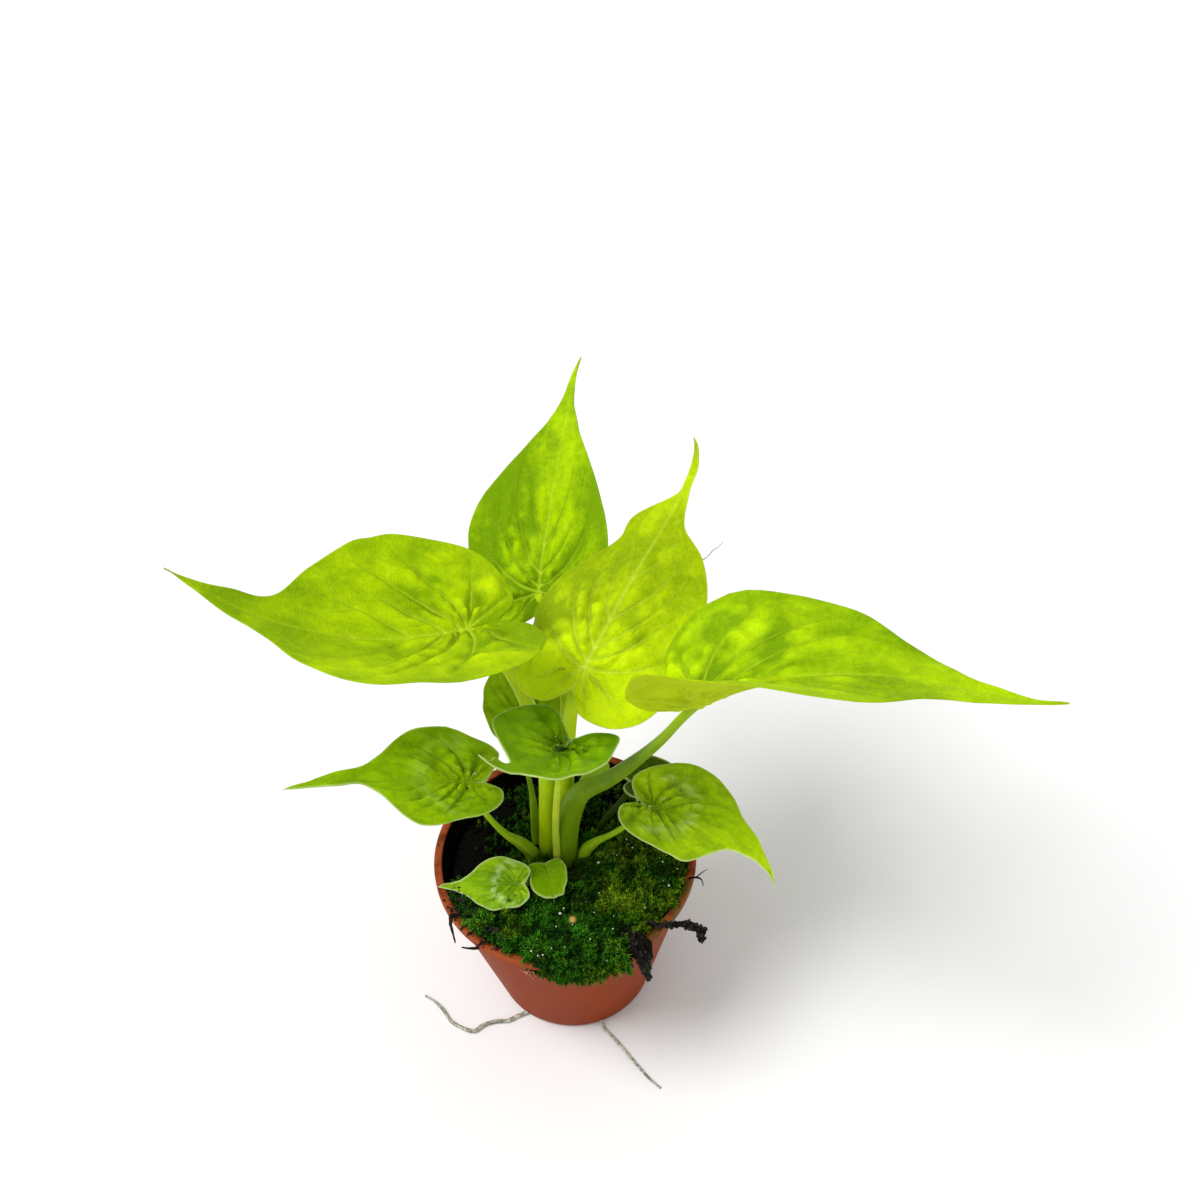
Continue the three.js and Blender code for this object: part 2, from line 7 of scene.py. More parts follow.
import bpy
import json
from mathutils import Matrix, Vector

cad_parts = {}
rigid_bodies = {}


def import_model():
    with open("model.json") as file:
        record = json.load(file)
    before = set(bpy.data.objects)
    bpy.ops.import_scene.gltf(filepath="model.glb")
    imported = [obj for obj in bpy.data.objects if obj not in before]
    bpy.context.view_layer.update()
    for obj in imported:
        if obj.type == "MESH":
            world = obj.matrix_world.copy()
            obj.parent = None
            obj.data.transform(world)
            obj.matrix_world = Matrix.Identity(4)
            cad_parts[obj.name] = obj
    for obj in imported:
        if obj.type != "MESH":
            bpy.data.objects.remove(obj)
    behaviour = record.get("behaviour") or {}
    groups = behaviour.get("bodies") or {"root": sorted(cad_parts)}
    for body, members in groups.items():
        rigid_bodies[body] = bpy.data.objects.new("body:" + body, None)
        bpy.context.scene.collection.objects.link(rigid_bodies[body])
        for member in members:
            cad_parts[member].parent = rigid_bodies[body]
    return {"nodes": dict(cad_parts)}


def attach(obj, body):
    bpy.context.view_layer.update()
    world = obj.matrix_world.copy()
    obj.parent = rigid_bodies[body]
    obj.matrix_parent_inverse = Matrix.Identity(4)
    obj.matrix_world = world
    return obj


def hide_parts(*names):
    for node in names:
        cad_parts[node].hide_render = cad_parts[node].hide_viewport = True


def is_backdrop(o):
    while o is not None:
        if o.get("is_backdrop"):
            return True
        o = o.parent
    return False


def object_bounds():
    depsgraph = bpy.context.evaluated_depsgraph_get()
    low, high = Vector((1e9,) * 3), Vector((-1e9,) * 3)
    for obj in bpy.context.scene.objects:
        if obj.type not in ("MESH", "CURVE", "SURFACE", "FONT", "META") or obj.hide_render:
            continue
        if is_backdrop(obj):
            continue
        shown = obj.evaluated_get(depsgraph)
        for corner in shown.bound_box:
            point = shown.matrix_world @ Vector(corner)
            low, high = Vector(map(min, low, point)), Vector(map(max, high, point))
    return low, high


bl_info = {
    "name": "Potted Golden Chinese Taro",
    "version": (1, 0, 0),
    "blender": (4, 5, 0),
    "location": "View3D > Sidebar > Taro",
    "description": "Builds the leaves, stalks, moss, soil, roots and pot round the packed model",
    "category": "Add Mesh",
}

import json
import math

import bpy
import numpy as np
from mathutils import Matrix, Vector

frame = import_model()
CAD_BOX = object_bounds()
MM = 0.001

# The pot in millimetres: its rim, its foot, its wall, the bead at its rim and the notches at its foot
RIM_RADIUS = 30
BASE_RADIUS = 18
POT_HEIGHT = 45.5
POT_WALL = 1
POT_FLOOR = 1.2
BEAD_HEIGHT = 2
BEAD_DEPTH = 0.7
LIP_ROUND = 0.45
WALL_SLOPE = (RIM_RADIUS - BEAD_DEPTH - BASE_RADIUS) / POT_HEIGHT
DRAIN_RADIUS = 2
DRAIN_ANGLES = (-131, -71, -11, 49, 109, 169)
POT_SIDES = 160
SMOOTH_ANGLE = 40

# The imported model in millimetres: where its stalks start, the gap at their ends, its blades' thickness
STEM_TOP = 32
SEAT_GAP = 0.3
CAD_BLADE = 0.7

# The side veins, counted in spans of the outline where they leave the midrib, where these and the
# outline end, and how the rows of a blade's grid lie between two veins
VEINS = (1.2, 2.4, 3.4, 4.1, 4.8, 5.6, 6.6)
VEIN_ENDS = np.array([0, *VEINS, 11])
LANE = np.array([0, 0.03, 0.07, 0.13, 0.22, 0.34, 0.5, 0.66, 0.78, 0.87, 0.93, 0.97])
TIP_ROWS = 44

# The share across a blade where its margin's rounding starts, the length of a blade for which the sizes
# of the relief are given, how far a stalk reaches into its blade, and the steps of a curve and a midrib
MARGIN_SHARE = 0.965
GROWN_LENGTH = 60
STALK_LIFT = 0.45
CURVE_SAMPLES = 900
MIDRIB_STEPS = 60

# A sheath's free edge: from where to where on the stalk, its widths along it and at the ear, its half
# thickness, and the side of the stalk on which it stands
WING_SPAN = (0.16, 0.52)
WING_WIDTH = 2.1
WING_EAR = 0.5
WING_THICK = 0.16
WING_SIDE = np.array([0, 0.753, 0.658])

# What every leaf has unless it says otherwise, in degrees, millimetres and shares of the length.
# arch and sweep bend the midrib up and to its left, and tip_arch and tip_sweep the drip tip. fold, lean
# and curl raise the halves: at the midrib, more at the left, and towards the margin, less so to the tip
# as the power open. lift raises the lobes. tip, neck, lobe, joined and full are the outline: where the
# drip tip starts and how wide it is, how long the lobes are and how far they join, and how full it is.
# left and right are how far the margin is moved out at each of the outline's points but the ends.
# spots darken a patch of the flat blade, or lighten it where the last number is below 0: its place along
# # and across, its size along and across, and by how much. The spots are painted shade and painted light
# # where the blade lies in shade or in light, and in part the leaf's own darker and lighter zones. puff,
# # veined, rim, gloss and litter are how high the puffs are, how far the veins show, the margin takes its
# # own colour and the blade shines in patches and has a painted highlight in a ring round the junction,
# # and how much grit lies at the junction. columns is how many columns of the grid a half has.
# sheath is how far the sheath runs up the stalk, the seam turns from one angle to the other, and wing is
# the colour of a sheath's free edge.
COMMON = dict(
    azimuth=0, pitch=0, roll=0, arch=-10, tip_arch=0, sweep=0, tip_sweep=0, fold=9, lean=0, curl=10,
    open=0.3, lift=25, tip=0.67, neck=0.21, lobe=0.19, joined=0.55, full=0, left=(0,) * 10, right=(0,) * 10,
    columns=32, puff=0.8, veined=1, rim=0, gloss=0, litter=0, spots=(), sheath=0, seam_from=0, seam_to=0,
    light=(0.64, 0.76, 0.01), dark=(0.5, 0.64, 0.01), under=(0.56, 0.64, 0.06), vein=(0.74, 0.84, 0.16),
    margin=(0.84, 0.9, 0.62), stalk=(0.7, 0.82, 0.02), stripe=(0.78, 0.86, 0.2), wing=None,
)

# Each leaf: its blade's place, size, bends, outline and colours, and its stalk's route and radii
LEAVES = [{**COMMON, **own} for own in (
    dict(name="left", at=(-15.5, 6, 120), length=65, width=50, azimuth=202, pitch=9, roll=8,
         arch=34, sweep=-38, curl=18, lift=5, tip=0.64, neck=0.22, full=0.3, puff=1.1,
         light=(0.75, 0.87, 0), dark=(0.5, 0.64, 0), sheath=0.55, seam_from=-60, seam_to=-60,
         left=(-1.8, -1.4, -0.3, -1.7, -1.3, 1.3, 0.9, 1.3, -0.2, -0.9),
         right=(-3, -0.8, 0.2, 1.5, 2.6, 3, 2.9, 2.2, 1.8, 0.6),
         spots=((54, 0, 12, 8, 0.4), (36, -3, 16, 15, 0.25), (-6, 8, 7, 8, 1), (4, -15, 6, 6, 0.4),
                (27, 15, 8, 4, -0.3)),
         route=((-4, 2), (-3.9, 2, 45), (-3.3, 2.5, 56), (-2.6, 6, 76), (-6.8, 11, 94), (-11.8, 10.5, 108)),
         radii=(1.9, 1.9, 1.9, 1.7, 1.4, 1.1)),
    dict(name="back", at=(-1.8, 37, 94.7), length=54, width=35, azimuth=73, pitch=50, roll=-13,
         arch=-14, tip_arch=-22, sweep=1, tip_sweep=5, fold=6.5, tip=0.7, neck=0.2, full=-0.1,
         light=(0.76, 0.9, 0), dark=(0.45, 0.6, 0),
         left=(0, 0, 0, -0.5, 0.7, -0.2, 0.2, 0.4, 0, 0.2),
         right=(0, 0, 0, 0.1, 0.3, -0.6, -0.1, 0.1, -0.6, -0.5),
         spots=((20, -12, 16, 6, 0.6), (24, 11, 15, 6, 0.75), (4, 13, 9, 4, 0.5), (4, 0, 8, 6, 0.3),
                (-3, 0, 5, 8, 0.7)),
         route=((-1.5, 9), (0.5, 14, 55), (2.5, 21.5, 70), (1.5, 30.5, 85)), radii=(1.9, 1.7, 1.4, 1.1)),
    dict(name="centre", at=(7.6, 3.5, 108), length=60, width=39, azimuth=57, pitch=21, roll=-3,
         arch=-24, tip_arch=112, sweep=5, tip_sweep=-20, fold=-14, curl=-7, lift=9, tip=0.64, neck=0.2,
         lobe=0.17, full=0.6, puff=1, veined=0.65, rim=0.45,
         light=(0.79, 0.91, 0.01), dark=(0.53, 0.63, 0), vein=(0.86, 0.94, 0.3), margin=(0.86, 0.94, 0.3),
         left=(-1, -0.3, 0, -0.7, 0.9, -2.2, -3.5, 3.8, -1.6, -0.6),
         right=(-1.5, -0.1, 0.1, -0.1, -1.3, 0, -0.2, 0.7, 0, 0.9),
         spots=((-5, 9, 8, 9, -0.9), (-5, -9, 8, 8, -0.9), (52, 0, 8, 8, -0.4), (26, 4, 12, 17, 0.35),
                (10, 14, 8, 6, 0.6), (5, -7, 7, 6, -0.5)),
         route=((-0.3, 5), (1.7, 4, 70), (3, 3.5, 85), (4.7, 3.5, 97)), radii=(2.2, 2, 1.7, 1.3)),
    dict(name="right", at=(30, -16, 118.5), length=74.98, width=46, azimuth=-8, pitch=36, roll=-14,
         arch=-66, tip_arch=26, sweep=8, tip_sweep=9, fold=33, lean=-16, curl=15, open=1.6, lift=9,
         tip=0.68, neck=0.25, lobe=0.11, puff=1, light=(0.76, 0.9, 0.01), dark=(0.47, 0.62, 0),
         under=(0.72, 0.79, 0.04), stalk=(0.43, 0.56, 0.04), wing=(0.56, 0.7, 0.04),
         sheath=0.62, seam_from=-115, seam_to=-145,
         left=(-0.1, 0.5, -0.6, 0.6, -0.6, -0.3, 0, 0.3, -0.5, -0.6),
         right=(0, -0.1, 0.4, 2, -1.1, -0.8, -0.8, 0.4, 0.3, 0.6),
         spots=((46, 13, 20, 4.5, 0.5), (5, 3, 7, 5, 0.6), (17, 11, 1.8, 6, 0.8), (10, 15, 6, 5, 0.3),
                (16, 7, 5, 4, 0.4), (62, 0, 10, 5, -0.5), (33, 3, 13, 9, 0.3)),
         route=((-0.4, 0), (0.1, 0, 46.6), (1.7, -0.4, 60), (4.9, -1.7, 71.2), (11.5, -3.5, 78.3),
                (17.9, -6.5, 88.7), (22.8, -10, 99.4), (26.9, -13, 109.8)),
         radii=(2.7, 2.8, 2.6, 1.9, 1.3, 1, 0.95)),
    dict(name="low", at=(2, -10, 98), length=37, width=27, azimuth=243, pitch=26, roll=-8,
         arch=36, sweep=-12, tip_sweep=-40, fold=16, curl=13, lift=38, tip=0.63, columns=24,
         puff=0.5, veined=0.35, rim=0.6, litter=60,
         light=(0.59, 0.76, 0), dark=(0.4, 0.58, 0), vein=(0.52, 0.66, 0.1), stalk=(0.72, 0.8, 0.2),
         left=(0, 1.4, -1.1, -2, -3.1, -2.1, -0.4, -1.4, -0.3, -0.1),
         right=(1, -0.1, 0.4, 0.4, 0.9, 2.1, -2.2, 0.2, 2.2, 0.5),
         spots=((2, 0, 4, 5, 0.4), (-3, 8, 6, 6, 0.3)),
         route=((-1.9, -1.8), (-1.5, -2.6, 57), (-0.5, -5, 73), (0.5, -7.5, 84)),
         radii=(0.9, 0.85, 0.75, 0.65)),
    dict(name="shaded", at=(-6.6, 15, 75.5), length=28, width=17.5, azimuth=98, pitch=15, columns=18,
         puff=0.4, veined=0.6, light=(0.6, 0.74, 0.02), dark=(0.43, 0.56, 0), vein=(0.48, 0.58, 0.1),
         stalk=(0.5, 0.63, 0.06), route=((-6.5, 7.5), (-6.4, 8.5, 50), (-6.6, 10.5, 57), (-7.5, 13.5, 66)),
         radii=(1.3, 1.3, 1.2, 0.95, 0.62, 0.55, 0.55, 0.6)),
    dict(name="small_left", at=(-19.5, -4, 80.5), length=40, width=28, azimuth=183, pitch=16, roll=4,
         arch=-3, tip_arch=-28, tip_sweep=8, curl=4, lift=37, tip=0.57, neck=0.22, columns=24,
         veined=0.6, rim=0.35, gloss=0.4, litter=20, sheath=0.6, seam_from=60, seam_to=60,
         light=(0.64, 0.79, 0), dark=(0.42, 0.56, 0), vein=(0.6, 0.72, 0.14), stalk=(0.58, 0.72, 0.1),
         left=(-0.5, -1, -1.8, -1.2, 1.6, 1.6, -1.8, -1.2, 0.4, 1),
         right=(0.6, -1, -1.1, 0.3, -0.2, 0.2, -0.6, -0.2, 0.1, -0.7),
         route=((-6, 1.5), (-7, 1, 44), (-9.5, 0, 51), (-13, -1, 57), (-16.5, -3, 68)),
         radii=(1.6, 1.7, 1.7, 1.45, 0.85, 0.66, 0.62, 0.6, 0.6)),
    dict(name="small_right", at=(20.5, -1, 63), length=35, width=27, azimuth=-22, pitch=-3, roll=-9,
         arch=-11, tip_arch=-67, sweep=-17, tip_sweep=-19, fold=7, curl=8, lift=21, tip=0.64, neck=0.24,
         columns=24, puff=0.9, veined=0.5, rim=0.7, gloss=0.7, litter=24,
         sheath=0.6, seam_from=60, seam_to=60,
         light=(0.74, 0.88, 0.02), dark=(0.46, 0.61, 0), vein=(0.62, 0.75, 0.2), stalk=(0.58, 0.72, 0.08),
         left=(-0.1, -1.3, -0.6, 0.4, 0.5, 0.3, 0.2, 1, 0.2, -0.2),
         right=(-0.9, -0.9, -0.9, -0.6, 1, 2.3, -1.6, -0.5, 0, -0.2), spots=((27, 0, 12, 6, -0.5),),
         route=((3.4, -1), (4.2, -0.8, 46), (7, -1, 51), (12, -2, 56)),
         radii=(1.3, 1.5, 1.6, 1.5, 1.1, 0.68, 0.62, 0.6, 0.6)),
    # The small leaf at the back is painted dark green, partly as shade, since it sits in the shade of the
    # right leaf's stalk
    dict(name="small_back", at=(17.3, 10.5, 57.7), length=17, width=12.5, azimuth=3, columns=14, puff=0.3,
         veined=0.3, rim=0.9, light=(0.32, 0.42, 0.05), dark=(0.26, 0.36, 0.04), vein=(0.6, 0.66, 0.3),
         stalk=(0.22, 0.3, 0.06), route=((5, 6), (8.5, 7.5, 45), (13.5, 9.7, 51)), radii=(0.8, 0.8, 0.7)),
    dict(name="front", at=(-11, -10, 50), length=19, width=13, azimuth=171, pitch=-5, roll=-28,
         arch=-11, tip_arch=-9, sweep=2, tip_sweep=12, fold=14, curl=12, lift=31, tip=0.68, neck=0.29,
         columns=20, puff=0.35, veined=0.25, rim=0.7, gloss=1,
         light=(0.62, 0.79, 0.02), dark=(0.4, 0.57, 0), vein=(0.56, 0.7, 0.25), stalk=(0.5, 0.64, 0.07),
         left=(0.3, -0.1, 0, -0.3, 0.3, 0.2, 0.3, 0.4, 0.5, 0.3),
         right=(0.5, -0.5, -0.8, -0.6, -0.3, -0.6, -0.9, -0.9, -0.6, 0), spots=((3, 0, 3, 3.5, 0.5),),
         route=((-4, -3), (-5, -5, 44), (-8, -8.5, 48)), radii=(0.8, 0.8, 0.7)),
    dict(name="round", at=(-4.3, -5.8, 49.1), length=9, width=8.8, azimuth=280, pitch=10, tip=0.95,
         neck=0.5, joined=0.85, full=1, columns=14, puff=0.2, veined=0.3, rim=0.5, gloss=0.3,
         light=(0.54, 0.71, 0), dark=(0.45, 0.61, 0), vein=(0.54, 0.66, 0.15), stalk=(0.37, 0.49, 0.07),
         left=(-0.1, 0.3, 0, 0, 0.2, -0.2, -0.3, 0.1, 0, 0),
         right=(-0.2, 0.3, 0.4, 0, 0, 0.3, 0.3, -0.3, -0.3, 0),
         route=((-1.2, -3.3), (-2, -3.8, 41), (-3, -4.2, 45)), radii=(0.9, 0.8, 0.7)),
)]

# The leaves that the record lists as golden; the others are green
GOLDEN_LEAVES = ("left", "back", "centre", "right")

# The dark and light flecks of a root's skin: grey and dry, black and wet, and the fine dry ones'
SKINS = dict(grey=((0.45, 0.46, 0.4), (0.8, 0.8, 0.73)), black=((0.01, 0.01, 0.01), (0.09, 0.07, 0.05)),
             tan=((0.6, 0.36, 0.26), (0.88, 0.66, 0.52)))

# Each root: its skin, how rough it is, its radii, and the routes of its strands
ROOTS = (
    dict(name="ground_left", skin="grey", rough=0.12, radii=(0.5, 0.5, 0.55, 0.45, 0.4, 0.25),
         routes=(((-11.6, -13.4, 1), (-14.5, -14.6, 0.8), (-16.7, -15.5, 0.6), (-19.3, -15.5, 0.6),
                  (-22.5, -16.2, 0.5), (-24.9, -17.7, 0.6), (-27.5, -16.7, 0.5), (-30.4, -14.5, 0.5),
                  (-32.3, -11.1, 0.4), (-34.4, -8.7, 0.4), (-36.5, -7, 0.3)),)),
    dict(name="ground_front", skin="grey", rough=0.12, radii=(0.4, 0.38, 0.35, 0.25),
         routes=(((5.4, -16.4, 1), (6.1, -19.4, 0.7), (7.9, -21.6, 0.5), (10.7, -25.6, 0.4),
                  (13.1, -29.3, 0.4), (15.7, -33, 0.4), (18.4, -36, 0.3)),)),
    dict(name="rim_right", skin="black", rough=0.4, radii=(0.6, 0.65, 0.55, 0.85, 0.6),
         routes=(((14.5, -19, 44), (19, -21.8, 47.6), (23, -22.3, 48), (27, -22.4, 47.5),
                  (30.5, -23.5, 46.5)),
                 ((26, -22.4, 47.6), (28.5, -23.5, 47), (29.5, -25.5, 45.5)))),
    dict(name="rim_front", skin="black", rough=0.4, radii=(0.8, 1.1, 0.9, 0.55),
         routes=(((12.5, -21, 45.5), (14.5, -25.5, 48.2), (16.4, -28.4, 46.5), (16.8, -29.2, 42),
                  (16.9, -29, 36.5)),
                 ((13.6, -20.5, 46), (15.9, -24.6, 47.4), (17.4, -27.3, 46.6), (16.4, -29.2, 41),
                  (17.2, -28.6, 38)),
                 ((11.5, -21.5, 46), (13.4, -25.9, 47.6), (15.3, -28.9, 46), (16, -29.8, 43.5),
                  (16.4, -29.3, 40)))),
)

# No root comes lower than this over the ground
LOWEST = 0.02

# Fine roots on the wall: each piece's skin, and its strands' radii and their angles, heights and
# distances off the wall
WALL_HAIRS = dict(
    hairs_dry=("tan", (
        (0.15, ((-108, 41, 0.2), (-110, 41.6, 0.5), (-112, 42.3, 0.6), (-115, 42.8, 0.5))),
        (0.14, ((-108.5, 40, 0.2), (-111, 39, 0.6), (-113, 38.9, 0.5), (-115, 39.2, 0.4))),
        (0.14, ((-108.5, 39.5, 0.2), (-109.5, 38, 0.5), (-109.5, 36.5, 0.5), (-108.6, 34.8, 0.4))),
        (0.12, ((-109, 40.5, 0.2), (-110.5, 38.5, 0.5), (-111.5, 37, 0.4), (-111.3, 35.6, 0.3))),
        (0.12, ((-107.5, 40, 0.2), (-107, 38, 0.5), (-107.5, 36.5, 0.4))),
    )),
    hairs_dark=("black", (
        (0.42, ((-149, 46, -0.6), (-151, 45.6, 0.6), (-151.5, 43, 1.5), (-151.5, 39, 2.4),
                (-151, 34.5, 3.4))),
        (0.2, ((-147, 46.4, -1.5), (-149, 46.2, 0.2), (-150.5, 44, 1.4), (-150, 40.5, 2.2))),
        (0.35, ((-131, 43.6, 0.2), (-133.5, 43, 1.4), (-137, 42.4, 2.6), (-139, 42.4, 3.4))),
        (0.25, ((-128, 46.3, -1.8), (-130, 46.4, 0), (-132, 45, 1), (-132.5, 42.8, 1))),
        (0.2, ((-136, 46.4, -1.6), (-138, 46.4, 0.2), (-139, 44.8, 1.1))),
        (0.35, ((-64, 46.4, 0.5), (-66, 44, 1.6), (-64, 41, 2), (-62, 38, 1.9), (-61, 34.5, 1.8))),
        (0.3, ((-58, 46.6, 0.6), (-55, 44, 1.6), (-57, 41.5, 2.4), (-58, 38, 2), (-58.5, 34.6, 2.2))),
        (0.2, ((-62, 46.5, 0.8), (-68, 45, 1.4), (-69, 43, 1.8), (-68, 41.5, 1.6))),
        (0.16, ((-60, 40, 2.4), (-56, 39, 3), (-54, 37.5, 3.2))),
        (0.26, ((-18, 45.9, -0.5), (-17, 46, 1), (-16, 45, 2.5), (-17, 43.4, 3.6))),
        (0.16, ((-17, 46, 1), (-14, 46.3, 2.4), (-12, 45.9, 3.4))),
    )),
)

# A stray thread that sticks out beside the leaf in the middle
THREAD = ((33.4, 26.8, 112.4), (35.2, 26.8, 113.9), (36.5, 26.8, 115.9), (37.4, 26.8, 116.6),
          (38.6, 26.8, 118.3))
THREAD_RADII = (0.15, 0.13, 0.09)

# The dark hollow in the moss, its middle and radius, how low and how far out shoots grow, and where the
# mat hangs over the rim: the angle in degrees and how far to either side
MOSS_HOLLOW = (1.7, -13.4, 2.3)
MOSS_FOOT = 36
MOSS_REACH = 27.6
MOSS_OVERHANG = (-86, 24)

# How many spikes a shoot has
SHOOT_SPIKES = 8

# The bark chip on the moss: where it lies, and how a crumb is flattened and then spread about its middle
BARK_CHIP = (1.1, -19.9, 48.9)
CHIP_FLAT = (1, 1, 0.6)
CHIP_SPREAD = (1.7, 1, 0.8)

# Pale colours of bark and of specks, between which fine noise chooses. The pale specks are partly perlite
# # and partly white grains that paint the glints of water drops.
BARK_COLORS = ((0.66, 0.45, 0.2), (0.92, 0.76, 0.42))
CREAM_AND_GLINT_COLORS = ((0.85, 0.85, 0.8), (1, 1, 0.98))

# Loose grains: how many, their least and greatest size, and the share of pale ones, which are painted
# # glints of water drops, and on the moss and soil partly perlite. Grit on the leaves is counted by each
# # leaf's litter.
LEAF_GRIT = (0, (0.2, 0.5), 0.2)
MOSS_SPECKS = (70, (0.12, 0.32), 0.75)
RIM_DIRT = (150, (0.15, 0.5), 0)
SOIL_SPECKS = (26, (0.12, 0.26), 0.8)
ROOT_DIRT = (130, (0.25, 0.6), 0)

# Moss shoots on the root at the front
ROOT_SHOOTS = 90

# The floor's half width in metres, where the soft key light stands, and what the camera looks at in
# millimetres
FLOOR_REACH = 4
KEY_PLACE = (-0.5, -0.13, 0.9)
CAMERA_TARGET = (11.83, 0, 132.95)


def linear(color, share=1):
    """A share of a display colour as linear light: ((c + 0.055) / 1.055) ** 2.4, for values over 0.04."""
    dimmed = [min(1, share * c) for c in color]
    return tuple(((c + 0.055) / 1.055) ** 2.4 if c > 0.04 else c / 12.92 for c in dimmed)


def smooth(values, low, high):
    """3t^2 - 2t^3 of how far the values are from low to high."""
    t = np.clip((values - low) / (high - low), 0, 1)
    return t * t * (3 - 2 * t)


def lumps(u, v, seed):
    """Value noise from -1 to 1: random heights on a unit lattice, eased between with 3t^2 - 2t^3."""
    lattice = np.random.default_rng(seed).uniform(-1, 1, (64, 64))
    left, low = np.floor(u).astype(int), np.floor(v).astype(int)
    a, b = smooth(u - left, 0, 1), smooth(v - low, 0, 1)
    corner = lambda i, j: lattice[(left + i) % 64, (low + j) % 64]
    row = lambda j: corner(0, j) * (1 - a) + corner(1, j) * a
    return row(0) * (1 - b) + row(1) * b


def catmull(points, spots):
    """Catmull-Rom curve through points, its ends mirrored outwards; spots count the spans from 0."""
    points = np.asarray(points, float)
    padded = np.concatenate([2 * points[:1] - points[1:2], points, 2 * points[-1:] - points[-2:-1]])
    low = np.clip(np.floor(spots).astype(int), 0, len(points) - 2)
    t = (spots - low)[..., None]
    a, b, c, d = (padded[low + k] for k in range(4))
    return b + 0.5 * t * (c - a + t * (2 * a - 5 * b + 4 * c - d + t * (3 * b - a - 3 * c + d)))


def half_round(share, start):
    """The half section of a rounded edge: 1 up to start, then a quarter circle down to 0 at 1."""
    return np.sqrt(np.clip(1 - (np.clip(share - start, 0, 1) / (1 - start)) ** 2, 0, 1))


def arc(start, rate, length):
    """How far along and how far up a path gets that starts at an angle and turns at an even rate."""
    rate = np.where(np.abs(rate) < 1e-7, 1e-7, rate)
    end = start + rate * length
    return (np.sin(end) - np.sin(start)) / rate, (np.cos(start) - np.cos(end)) / rate


def unit(vectors):
    """The vectors divided by their lengths."""
    return vectors / np.maximum(np.linalg.norm(vectors, axis=-1, keepdims=True), 1e-12)


def around(sides):
    """A row of even angles round a circle."""
    return np.linspace(0, 2 * np.pi, sides, endpoint=False)[None]


def shell(points, masks=None):
    """A grid of points whose columns run round in a ring, as a closed mesh: its points, its triangles
    and its masks. Points nearer than 0.1 micrometre become one, and triangles without an area go."""
    number = np.arange(points[..., 0].size).reshape(points.shape[:2])
    right = np.roll(number, -1, axis=1)
    quads = np.stack([right[:-1], right[1:], number[1:], number[:-1]], -1).reshape(-1, 4)
    points = points.reshape(-1, 3)
    _, first, same = np.unique(np.round(points, 4), axis=0, return_index=True, return_inverse=True)
    corners = same.reshape(-1)[quads]
    triangles = np.concatenate([corners[:, [0, 1, 2]], corners[:, [0, 2, 3]]])
    a, b, c = triangles.T
    masks = {key: mask.reshape(-1)[first] for key, mask in (masks or {}).items()}
    return points[first], triangles[(a != b) & (b != c) & (c != a)], masks


def new_object(name, points, faces):
    """An object of points in millimetres and faces."""
    mesh = bpy.data.meshes.new(name)
    mesh.from_pydata((np.asarray(points, float) * MM).tolist(), [], np.asarray(faces).tolist())
    mesh.update()
    piece = bpy.data.objects.new(name, mesh)
    bpy.context.scene.collection.objects.link(piece)
    return piece


def add_piece(name, made, material, replaced=None):
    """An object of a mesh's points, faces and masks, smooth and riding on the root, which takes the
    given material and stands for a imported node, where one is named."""
    points, faces, masks = made
    piece = new_object(name, points, faces)
    for key, values in masks.items():
        layer = piece.data.attributes.new(key, "FLOAT", "POINT")
        layer.data.foreach_set("value", np.ascontiguousarray(values, np.float32))
    piece.data.polygons.foreach_set("use_smooth", np.ones(len(piece.data.polygons), bool))
    piece.data.materials.append(material)
    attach(piece, "root")
    if replaced:
        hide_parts(replaced)
    return piece


class Value:
    """A socket whose value varies over a surface. Arithmetic on it adds Math nodes."""

    def __init__(self, shader, socket):
        self.shader = shader
        self.socket = socket

    def math(self, operation, first, second):
        return self.shader.node("ShaderNodeMath", dict(operation=operation), {0: first, 1: second})

    def __add__(self, other):
        return self.math("ADD", self, other)

    def __sub__(self, other):
        return self.math("SUBTRACT", self, other)

    def __rsub__(self, other):
        return self.math("SUBTRACT", other, self)

    def __mul__(self, other):
        return self.math("MULTIPLY", self, other)

    __radd__ = __add__
    __rmul__ = __mul__

    def clamp(self):
        return self.shader.node("ShaderNodeClamp", {}, {0: self})

    def step(self, low, high):
        """3t^2 - 2t^3 of how far the value is from low to high."""
        settings = dict(interpolation_type="SMOOTHSTEP")
        return self.shader.node("ShaderNodeMapRange", settings, {0: self, 1: low, 2: high})


